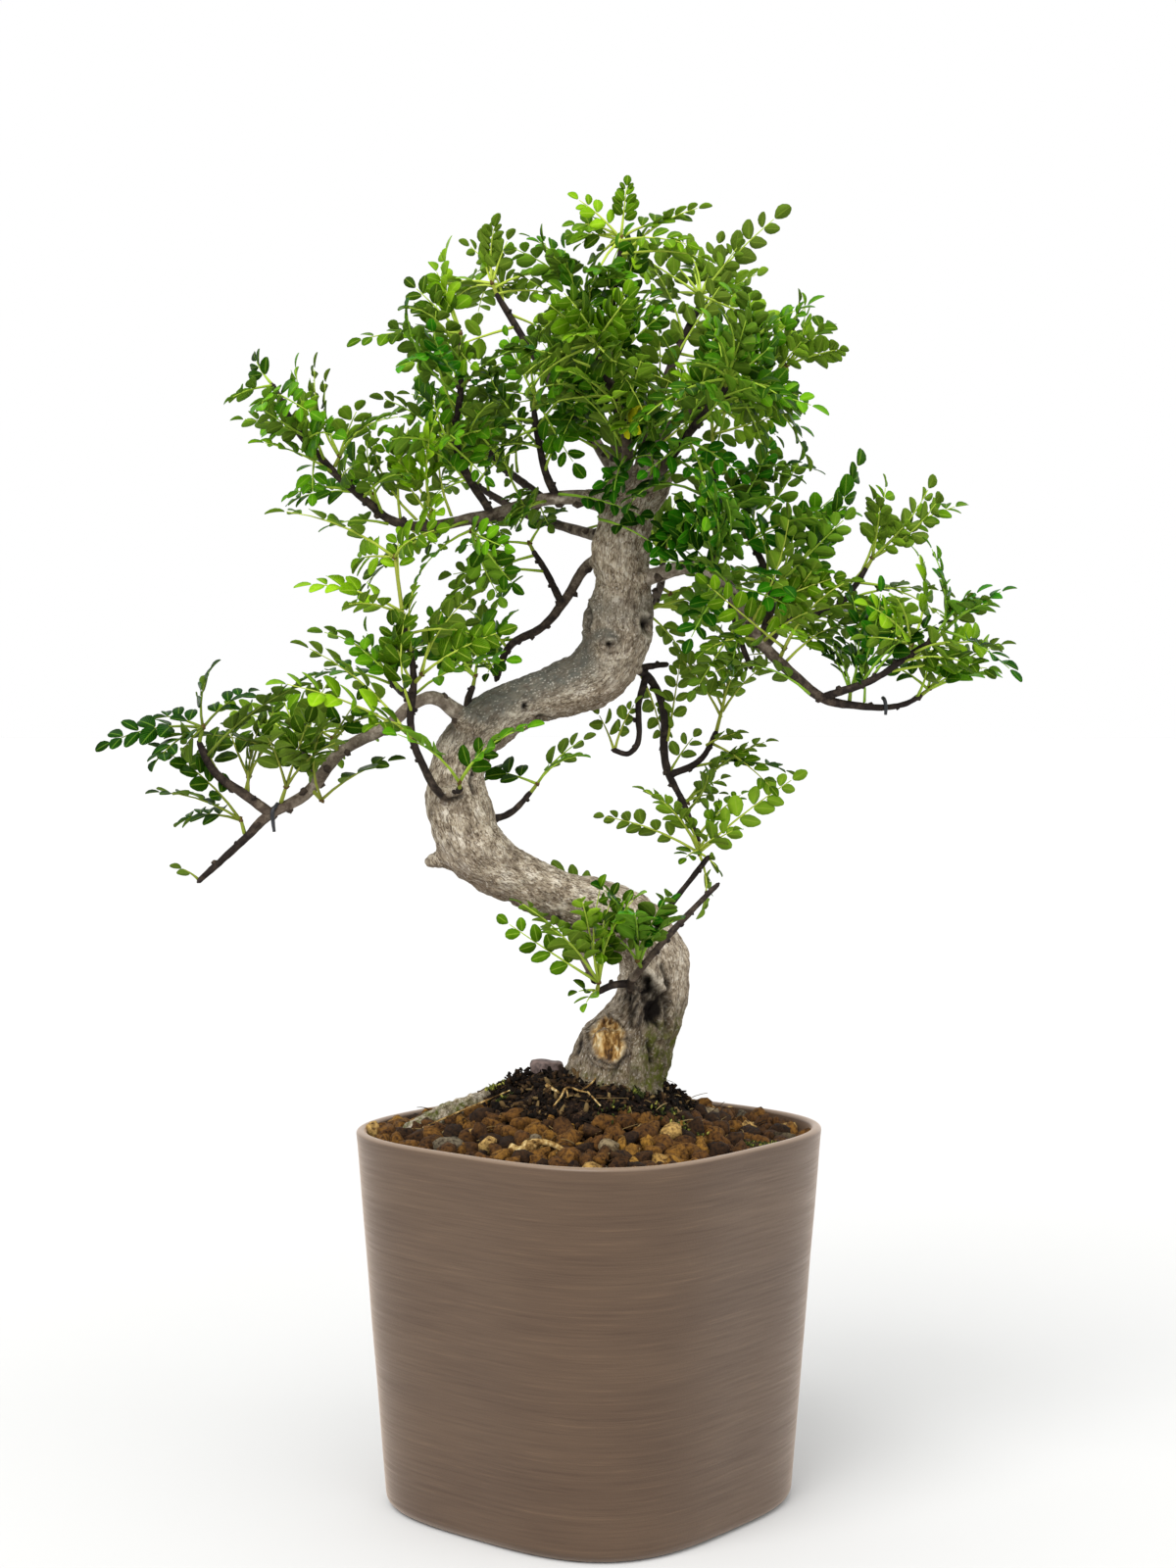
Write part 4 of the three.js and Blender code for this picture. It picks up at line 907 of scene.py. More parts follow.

# %% [markdown]
# ### Thick wood: lumps, splits, knots, the cut and the hollow
# The carving moves each point along its normal. Slow noise gives lumps, noise that is stretched
# along the grain gives splits, and each knot, slit and scar is a soft-edged shape given one by one:
# the ring of healed bark goes out, its middle goes in. The same shapes colour the bark later.
# %% Thick wood: carving
seen = smooth_step(0.0, 0.35, -normals[:, 1]) * (skin[:, 1] < 12)


def front_away(x, z, wide, tall):
    """How far a point is from a spot on the trunk's front, in shares of the spot's size."""
    return np.hypot((skin[:, 0] - x) / wide, (skin[:, 2] - z) / tall) + 9 * (1 - seen)


def front_slit(points, width):
    """1 on a line of (x, z) points on the trunk's front, and near 0 beyond twice the width."""
    place, away = skin[:, [0, 2]], np.full(len(skin), 99.0)
    for start, end in zip(np.array(points, dtype=float), np.array(points[1:], dtype=float)):
        share = np.clip((place - start) @ (end - start) / ((end - start) ** 2).sum(), 0, 1)
        away = np.minimum(away, np.linalg.norm(place - start - share[:, None] * (end - start), axis=1))
    return seen * bell(away, width)


def along_grain(width, length, seed):
    return noise_at(grain / (width, width, length), 1, seed)


ragged = noise_at(skin, 3, 8)
splits = np.abs(along_grain(3.4, 9, 1))
fine_splits = np.abs(along_grain(1.7, 5, 2))
lift = layered_noise(skin, (1.2, 15, 1), (0.7, 6, 2), (0.35, 2.6, 3))
lift -= 0.45 * bell(splits, 0.12) + 0.3 * bell(fine_splits, 0.14)
# rough is where the wood faces down: it roughens the carving there, and through the light mark it paints
# darker, browner shade on the undersides.
rough = smooth_step(0.15, 0.8, -normals[:, 2])
lift += rough * (0.8 * noise_at(skin, 4, 5) - 0.3)
pale = np.zeros(len(skin))
# The dark mark is near-black: dark bark lines and spots, and painted shade in the carved knot eyes, slits,
# hollow and pits.
dark_and_recess_shade = np.zeros(len(skin))

# %% Thick wood: knots, each a dark eye in a healed ring
for x, z, wide, tall, deep, healed in (
    (25.8, 399, 3.4, 4.9, 4.6, 1.5), (9.1, 389.8, 3.0, 2.6, 3.8, 1.3), (-29.7, 362, 2.2, 2.8, 2.4, 0.7),
):
    away = front_away(x, z, wide, tall) + 0.27 * noise_at(skin, 3, x)
    ring = bell(away - 1.15, 0.24) * np.clip(0.6 + 1.4 * noise_at(skin, 4, x + 1), 0, 1.2)
    lift += healed * ring - deep * bell(away, 0.62)
    # The knot's carved eye is painted dark: dark wood and painted shade in it.
    dark_and_recess_shade = np.maximum(dark_and_recess_shade, np.clip(1.5 * bell(away, 0.72), 0, 1))
    creases = bell(away - 1.7, 0.13) * (noise_at(skin, 4, x + 2) > 0)
    dark_and_recess_shade = np.maximum(dark_and_recess_shade, 0.35 * healed * creases)
    pale = np.maximum(pale, 0.7 * healed * ring)
dark_and_recess_shade = np.maximum(dark_and_recess_shade, bell(front_away(-14.1, 268, 1.4, 2.2), 1))
for x, z in ((9.5, 384), (9, 381.5), (-33, 358)):
    fold = front_slit([(x - 4, z + 1.5), (x, z), (x + 4, z + 0.5)], 0.8)
    lift += 0.8 * fold
    pale = np.maximum(pale, 0.8 * fold)

# %% Thick wood: slits with swollen lips, creases, the torn underside
for points, width, depth in (
    ([(0.4, 437), (0.8, 431), (0.2, 424.5)], 0.9, 3.4), ([(-0.6, 409), (0.4, 403), (-0.6, 397)], 1.0, 3.8),
    ([(17.1, 236), (17.6, 228), (18.4, 219)], 1.5, 2.6), ([(35, 238), (36, 228), (34.6, 216)], 1.3, 2.6),
    ([(32, 246), (35, 238)], 1.0, 2.0), ([(-69, 326), (-63, 321), (-57, 322.5)], 1.0, 2.4),
    ([(-50, 336), (-53, 329), (-51, 324)], 1.0, 2.0), ([(27, 419), (28.5, 414)], 1.3, 2.0),
    ([(10, 196), (13, 203), (17, 206)], 1.0, 1.4), ([(-2, 214), (-6, 205)], 1.0, 1.2),
    ([(26, 212), (28, 202)], 1.0, 1.4), ([(-22, 356), (-12, 353.5), (-3, 356)], 2.3, 2.4),
):
    slit, beside = front_slit(points, width), front_slit(points, 2.3 * width)
    lift += 0.6 * depth * (beside - slit) - depth * slit
    # The carved slit is painted dark: the split's own dark and painted shade in it.
    dark_and_recess_shade = np.maximum(dark_and_recess_shade, (0.75 + 0.6 * ragged) * slit)
lip_swell = 1.1 * front_slit([(-3, 408), (-3, 402), (-3, 396)], 2.4)
lift += lip_swell + 1.5 * front_slit([(-68, 319), (-58, 323)], 3.5)

# %% Thick wood: the hollow with its flap of bark, and the fresh cut
hollow = 1 - smooth_step(0.72, 1.05, front_away(29.3, 230.5, 7.2, 12.5) + 0.3 * ragged)
flap = front_slit([(21, 250), (27, 243), (33.4, 235.5)], 1.9)
lift += -4.6 * hollow * (1 - flap) + 2.4 * flap + 1.6 * hollow * noise_at(skin, 2.2, 9)
pit = bell(front_away(28.6, 225, 3.6, 4.2), 1) + bell(front_away(24.8, 239.5, 3.4, 3.4), 1)
lift -= 3.0 * pit
# The hollow and its pits are painted nearly black, as shade in them.
dark_and_recess_shade = np.maximum(dark_and_recess_shade, np.clip(hollow * (0.78 - 0.5 * ragged) + pit, 0, 1) * (1 - flap))
# Painted shade in streaks round the hollow, mostly to its left.
hollow_shade_streaks = 1 - smooth_step(0.55, 1.1, front_away(24.5, 230, 12.5, 16) + 0.35 * ragged)
dark_and_recess_shade = np.maximum(dark_and_recess_shade, hollow_shade_streaks * np.clip(0.62 + 1.4 * along_grain(1.5, 8, 13), 0, 0.88) * (1 - flap))
pale = np.maximum(pale, flap)
oval = front_away(8.3, 212.6, 8.6, 10.2) + 0.1 * noise_at(skin, 4, 6)
scar = 1 - smooth_step(0.84, 0.98, oval)
lean = skin @ np.array([[1, 0, 0.3], [0, 1, 0], [-0.45, 0, 0.4]])
lift += scar * (1.3 * noise_at(lean, 2.2, 9) - 2.0) + 1.9 * bell(oval - 1.12, 0.12)
dark_and_recess_shade = np.maximum(dark_and_recess_shade, 0.8 * bell(oval - 1.0, 0.05) * (noise_at(skin, 5, 7) > -0.1))

# %% Thick wood: where moss, shade and the dark foot are
foot = 1 - smooth_step(212, 244, skin[:, 2] + 5 * ragged)
lift += foot * (1.3 * along_grain(4.5, 22, 11) + 0.8 * along_grain(2.2, 10, 12))
creases = foot * bell(along_grain(4.5, 22, 11), 0.1)
dark_and_recess_shade = np.maximum(dark_and_recess_shade, 0.45 * creases)
on_root = (1 - smooth_step(-30, -14, skin[:, 0])) * (1 - smooth_step(200, 215, skin[:, 2]))
moss_edge = skin[:, 0] - 20 + 9 * noise_at(skin, 9, 7)
moss_top = skin[:, 2] + 11 * noise_at(skin, 8, 12)
moss = 1.4 * (1 - smooth_step(202, 235, moss_top)) * smooth_step(-4, 8, moss_edge)
moss = np.maximum(moss, 0.8 * (1 - smooth_step(192, 204, skin[:, 2] + 6 * ragged)))
root_moss = 0.5 + 1.1 * noise_at(skin, 7, 3) + 0.6 * smooth_step(-48, -38, skin[:, 0])
moss = np.maximum(moss, on_root * root_moss)
pale = np.maximum(pale, on_root * smooth_step(-62, -78, skin[:, 0]) * (0.4 + ragged))
# The same mark also makes the upper trunk darker and browner by height.
rough = np.maximum(rough, 0.3 * smooth_step(372, 392, skin[:, 2]))
above = 1.75 * smooth_step(-0.5, 0.5, normals[:, 2])
shade = smooth_step(335, 362, skin[:, 2]) * (1 - smooth_step(404, 424, skin[:, 2])) * above

move_points(wood_mesh, skin + normals * lift[:, None])
cavities = 0.5 * np.clip(1 - splits / 0.16, 0, 1)
mark_points(wood_mesh, "grain", grain * MM, "FLOAT_VECTOR", "vector")
mark_points(wood_mesh, "mark", np.stack([scar, np.clip(moss, 0, 2), dark_and_recess_shade, cavities], 1))
mark_points(wood_mesh, "light", np.stack([rough, shade, foot * (1 - on_root), pale], 1))

# %% [markdown]
# ### Bark
# The bark is thin, grey-brown and dry: fine dark splits with the grain, a mottle of lichen-grey and
# tan, and hundreds of pale corky flecks about a millimetre across. Painted shade makes undersides
# darker and browner and the top of the upper bend greyer, the foot is green with moss, and the cut
# shows cream wood. The knots, slits and hollow are painted dark, partly as shade in them. The marks
# from the carving mix these.
# %% Bark: colour layers
bark, tree, shader = start_material("dry_fissured_bark", Roughness=0.85, Specular_IOR_Level=0.15)
place = add(tree, "TexCoord", out="Object")
grain_place = add(tree, "Attribute", out="Vector", attribute_name="grain")
scar_share, moss_share, dark_and_recess_shade_share, cavity_share = read_marks(tree, "mark")
underside_shade_and_upper_tint, shade_share, foot_share, pale_share = read_marks(tree, "light")

run = add(tree, "Mapping", {"Vector": grain_place, "Scale": (980, 980, 330)})
fissures = add(
    tree, "TexNoise", {"Vector": run, "Scale": 1, "Detail": 5, "Roughness": 0.6, "Distortion": 1.3}
)
mottle = add(tree, "TexNoise", {"Vector": place, "Scale": 170, "Detail": 6, "Roughness": 0.62})
fleck_run = add(tree, "Mapping", {"Vector": grain_place, "Scale": (760, 760, 520)})
flecks = add(tree, "TexVoronoi", {"Vector": fleck_run, "Scale": 1, "Randomness": 1.0})
base = add(
    tree, "ValToRGB", {"Fac": mottle},
    ((0.32, "#807465"), (0.45, "#b0a38f"), (0.55, "#cfc4b1"), (0.68, "#efe7d9"))
)
split_tone = add(
    tree, "ValToRGB", {"Fac": fissures},
    ((0.34, "#4b3d2d"), (0.44, "#94877a"), (0.52, "#f0ece6"), (0.75, "#ffffff"))
)
bark_tone = add(
    tree, "Mix", {SHARE: 0.85, UNDER: base, OVER: split_tone},
    data_type="RGBA", blend_type="MULTIPLY"
)
fleck = add(tree, "MapRange", {"Value": flecks, "From Min": 0.32, "From Max": 0.2})
fleck_share = add(tree, "Math", [fleck, 0.72], operation="MULTIPLY")
patches = add(tree, "TexNoise", {"Vector": place, "Scale": 240, "Detail": 4, "Roughness": 0.7})
patchy = add(
    tree, "MapRange", {"Value": patches, "From Min": 0.42, "From Max": 0.62, "To Min": 0.3, "To Max": 2.0}
)
damp = add(tree, "Math", [moss_share, patchy], operation="MULTIPLY")
# The first two layers are painted shade: darker, browner undersides and upper trunk, and grey on the top of
# the upper bend.
for strength, colour in (
    (shade_share, "#62625a"), (underside_shade_and_upper_tint, "#5e4a39"), (foot_share, "#4c3a22"), (pale_share, "#e4d9c4"),
    (fleck_share, "#eee5d6"), (damp, "#4f531a"),
):
    share = add(tree, "Math", [strength, mottle], operation="MULTIPLY", use_clamp=True)
    over = hex_colour(colour)
    bark_tone = add(tree, "Mix", {SHARE: share, UNDER: bark_tone, OVER: over}, data_type="RGBA")

# %% Bark: cut wood, dark hollows and relief
torn_run = add(tree, "Mapping", {"Vector": place, "Rotation": (0, 0.5, 0), "Scale": (330, 330, 130)})
torn = add(
    tree, "TexNoise",
    {"Vector": torn_run, "Scale": 1, "Detail": 4, "Roughness": 0.55, "Distortion": 0.8}
)
wood_tone = add(
    tree, "ValToRGB", {"Fac": torn},
    ((0.34, "#3f2812"), (0.44, "#8d6430"), (0.53, "#bf985c"), (0.6, "#dcc08b"), (0.7, "#f6e8c6"))
)
# The dark mark's near-black is partly painted shade in the carved recesses.
for share, over in (
    (scar_share, wood_tone), (cavity_share, hex_colour("#55473b")), (dark_and_recess_shade_share, hex_colour("#15100c")),
):
    bark_tone = add(tree, "Mix", {SHARE: share, UNDER: bark_tone, OVER: over}, data_type="RGBA")
coarse = add(tree, "Bump", {"Height": fissures, "Strength": 0.9, "Distance": 1.1 * MM})
fine = add(tree, "Bump", {"Height": mottle, "Strength": 0.6, "Distance": 1.2 * MM, "Normal": coarse})
pimples = add(tree, "Bump", {"Height": fleck, "Strength": 0.35, "Distance": 0.4 * MM, "Normal": fine})
feed(shader, Base_Color=bark_tone, Normal=pimples)
add_piece("trunk", wood_mesh, bark, "bark", "trunk_and_branches")

# %% [markdown]
# ### Twigs
# The twigs are young wood: thin dark bark with swollen nodes, where a leaf once stood, every
# centimetre or so. They are tubes along the routes, made uneven by noise, and the nodes are small
# lumps set along them. A mark of how thick the wood is turns grey bark nearly black at the ends.
# %% Twigs: tubes
def with_tip(route):
    """A route with one more point, which rounds the end off."""
    end, before = np.array(route[-1][:3]), np.array(route[-2][:3])
    tip = end + unit(end - before) * route[-1][3]
    return [*route, (*tip, 0.35 * route[-1][3])]


twig_routes = {name: route for name, route in BRANCHES.items() if name not in MELTED}
twig_routes["hanging"] = [(x, y, z, 0.82 * radius) for x, y, z, radius in BRANCHES["hanging"]]
twig_mesh = limbs("twigs", [with_tip(route) for route in twig_routes.values()], 13, 10)
twig_points = vectors_of(twig_mesh) / MM
uneven = layered_noise(twig_points, (0.28, 5, 1), (0.16, 2, 2))
move_points(twig_mesh, twig_points + vectors_of(twig_mesh, "normal") * uneven[:, None])

# %% Twigs: how young the bark is
# The wood's thickness tells, but in three places the bark looks younger or older than that.
twig_line = np.concatenate([stations(route, 2.5) for route in twig_routes.values()])
for place, reach, more in (((38, 37, 340), 50, -1.1), ((-4, -21, 252), 14, 1.2), ((40, -29, 264), 32, 0.6)):
    twig_line[:, 3] += more * (np.linalg.norm(twig_line[:, :3] - place, axis=1) < reach)
young = 1 - smooth_step(1.5, 3.2, twig_line[nearest_rows(twig_points, twig_line), 3])
mark_points(twig_mesh, "mark", np.stack([young, 0 * young, 0 * young, 0 * young], 1))

# %% Twigs: nodes and winter buds
node_shapes = [rough_lump(0.35, seed) for seed in (4, 6)]
draws = random_source(SEEDS["nodes"])
copies = []
for route in twig_routes.values():
    row = stations(route, 1)
    spot = 7 + 4 * next(draws)
    while spot < len(row) - 2:
        at, radius = row[int(spot), :3], row[int(spot), 3]
        way = unit(row[int(spot) + 1, :3] - row[int(spot) - 1, :3])
        out = unit(np.cross(way, (next(draws) - 0.5, next(draws) - 0.5, next(draws) - 0.5)))
        mesh, points = picked(node_shapes, draws)
        size = 0.55 * radius + 0.45 + 0.5 * next(draws)
        points = turned(points, size * np.array([1, 0.8, 0.8]), draws) + at + out * (radius - 0.15 * size)
        copies.append((mesh, points, (min(1, 1.15 - radius / 6), 0, 0, 0)))
        spot += 6 + 7 * next(draws)
node_mesh = gathered("twig_nodes", copies)
print("nodes:", len(copies))

# %% Twigs: thin bark
twig_bark, tree, shader = start_material("young_twig_bark", Roughness=0.75, Specular_IOR_Level=0.15)
place = add(tree, "TexCoord", out="Object")
patchy = add(tree, "TexNoise", {"Vector": place, "Scale": 240, "Detail": 5, "Roughness": 0.7})
swing = add(tree, "Math", [patchy, 2.1, read_marks(tree)[0]], operation="MULTIPLY_ADD")
age = add(tree, "MapRange", {"Value": swing, "From Min": 0.72, "From Max": 2.1})
twig_tone = add(
    tree, "ValToRGB", {"Fac": age},
    ((0.0, "#b0a596"), (0.25, "#7d7163"), (0.55, "#52463b"), (0.8, "#372e27"), (1.0, "#221b18"))
)
bump = add(tree, "Bump", {"Height": patchy, "Strength": 0.7, "Distance": 0.7 * MM})
feed(shader, Base_Color=twig_tone, Normal=bump)
add_piece("twigs", twig_mesh, twig_bark, "bark")
add_piece("twig_nodes", node_mesh, twig_bark, "bark")

# %% [markdown]
# ### Bits of training wire
# Two short ends of dark coated wire are left on the branches, where the wood was once held down.
# They are thin tubes that touch the bark they were wound on.
# %% Training wire
wire_routes = [
    [(-137.5, -35, 319.5, 0.9), (-139.5, -37.5, 316, 0.9), (-139.5, -37, 312, 0.9), (-139, -36.5, 307, 0.7)],
    [(130, -27, 366, 0.9), (130.5, -29, 365, 0.9), (131, -29.5, 362, 0.9), (131, -29, 358.5, 0.7)],
]
wire, tree, shader = start_material("dark_coated_wire", Roughness=0.45, Specular_IOR_Level=0.4)
place = add(tree, "TexCoord", out="Object")
scuffs = add(tree, "TexNoise", {"Vector": place, "Scale": 700, "Detail": 3})
wire_tone = add(tree, "ValToRGB", {"Fac": scuffs}, ((0.4, "#17181b"), (0.65, "#33363b")))
feed(shader, Base_Color=wire_tone)
add_piece("training_wire", limbs("training_wire", wire_routes, 8, 8), wire, "bark")

# %% [markdown]
# ### Moss, a thin root and straws
# A few things lie on the filling: moss that grows in damp spots, a thin pale root that arches out of
# the grains at the front, and dry straws on the peat. The root and straws are short tubes, and moss
# is a clump of small lumps that stand on end.
# %% Moss
moss_mesh, moss_points = rough_lump(0.5, 12)
draws = random_source(SEEDS["moss"])
copies = []
for x, y, wide, lift, count in (
    (77, -36, 9, 0, 200), (36, -30, 10, 0, 60), (48, -36, 8, 0, 40), (22, -24, 3, 0, 30),
    (-40, -8, 6, 0, 30), (10, -40, 9, 0, 24), (-43, 0, 5.5, 4.6, 110),
):
    for tuft in range(count):
        angle, away = ANY_TURN * next(draws), wide * math.sqrt(next(draws))
        px, py = x + away * math.cos(angle), y + 0.8 * away * math.sin(angle)
        height = 0.6 + 0.7 * next(draws)
        tilt = rotation(*[(axis, 1.5 * (next(draws) - 0.5)) for axis in "XY"])
        points = (moss_points * (0.6, 0.6, height)) @ tilt
        points = points + (px, py, heap_height(px, py) + lift + 1.2 + 0.4 * height)
        tone = next(draws) if lift == 0 else 0.7 + 0.3 * next(draws)
        copies.append((moss_mesh, points, (tone, 0, 0, 0)))
moss_green, tree, shader = start_material("damp_moss", Roughness=0.85, Specular_IOR_Level=0.15)
moss_tone = add(
    tree, "ValToRGB", {"Fac": read_marks(tree)[0]},
    ((0.0, "#171c06"), (0.6, "#2f3610"), (0.86, "#545a1d"), (1.0, "#a39d48"))
)
feed(shader, Base_Color=moss_tone)
add_piece("moss", gathered("moss", copies), moss_green, "soil")

# %% Thin root and straws
FRONT_ROOT = [
    (-37, -58, 160, 2.6), (-36, -64, 168, 2.7), (-28, -65, 172, 2.6), (-22, -65, 174.5, 1.7),
    (-17, -66, 174.2, 1.35), (-12, -67, 171.8, 1.3), (-8, -69, 168.3, 1.1), (-4.5, -70, 163, 0.9),
]
STRAWS = [
    [(-16, -35, 185.4, 0.4), (-12.6, -29.5, 189, 0.5), (-10.1, -25, 191.9, 0.5), (-4.3, -28, 191, 0.4),
        (-1, -29, 190.6, 0.3)],
    [(-10.4, -25, 191.6, 0.4), (-9.6, -31, 188.4, 0.3)], [(-19.3, -18, 192, 1), (-14, -25, 190, 0.6)],
    [(-4.3, -28.2, 190.8, 0.35), (0.1, -24.5, 193.4, 0.4), (4.1, -17.5, 197, 0.3)],
    [(-1, -29, 190.8, 0.45), (4.7, -38, 186, 0.35)],
    [(-75, -19, 173, 0.4), (-62, -17, 178.5, 0.45), (-46, -15, 185, 0.4), (-36, -13, 189, 0.3)],
]
root_mesh = limbs("front_root", [FRONT_ROOT] + STRAWS, 24, 16)
root_points = vectors_of(root_mesh) / MM
knobs = layered_noise(root_points, (1.5, 4, 3), (1.1, 2, 5))
knobs *= 1.3 - 1.15 * smooth_step(-28, -20, root_points[:, 0])
swell = knobs * smooth_step(-45, -52, root_points[:, 1])
move_points(root_mesh, root_points + vectors_of(root_mesh, "normal") * swell[:, None])
pale_root, tree, shader = start_material("pale_dry_root", Roughness=0.85, Specular_IOR_Level=0.15)
place = add(tree, "TexCoord", out="Object")
skin_noise = add(tree, "TexNoise", {"Vector": place, "Scale": 260, "Detail": 5, "Roughness": 0.65})
root_tone = add(
    tree, "ValToRGB", {"Fac": skin_noise},
    ((0.36, "#33240f"), (0.46, "#785a2e"), (0.55, "#a68b58"), (0.68, "#d8c698"))
)
bump = add(tree, "Bump", {"Height": skin_noise, "Strength": 0.8, "Distance": 0.8 * MM})
feed(shader, Base_Color=root_tone, Normal=bump)
add_piece("front_root", root_mesh, pale_root, "bark")

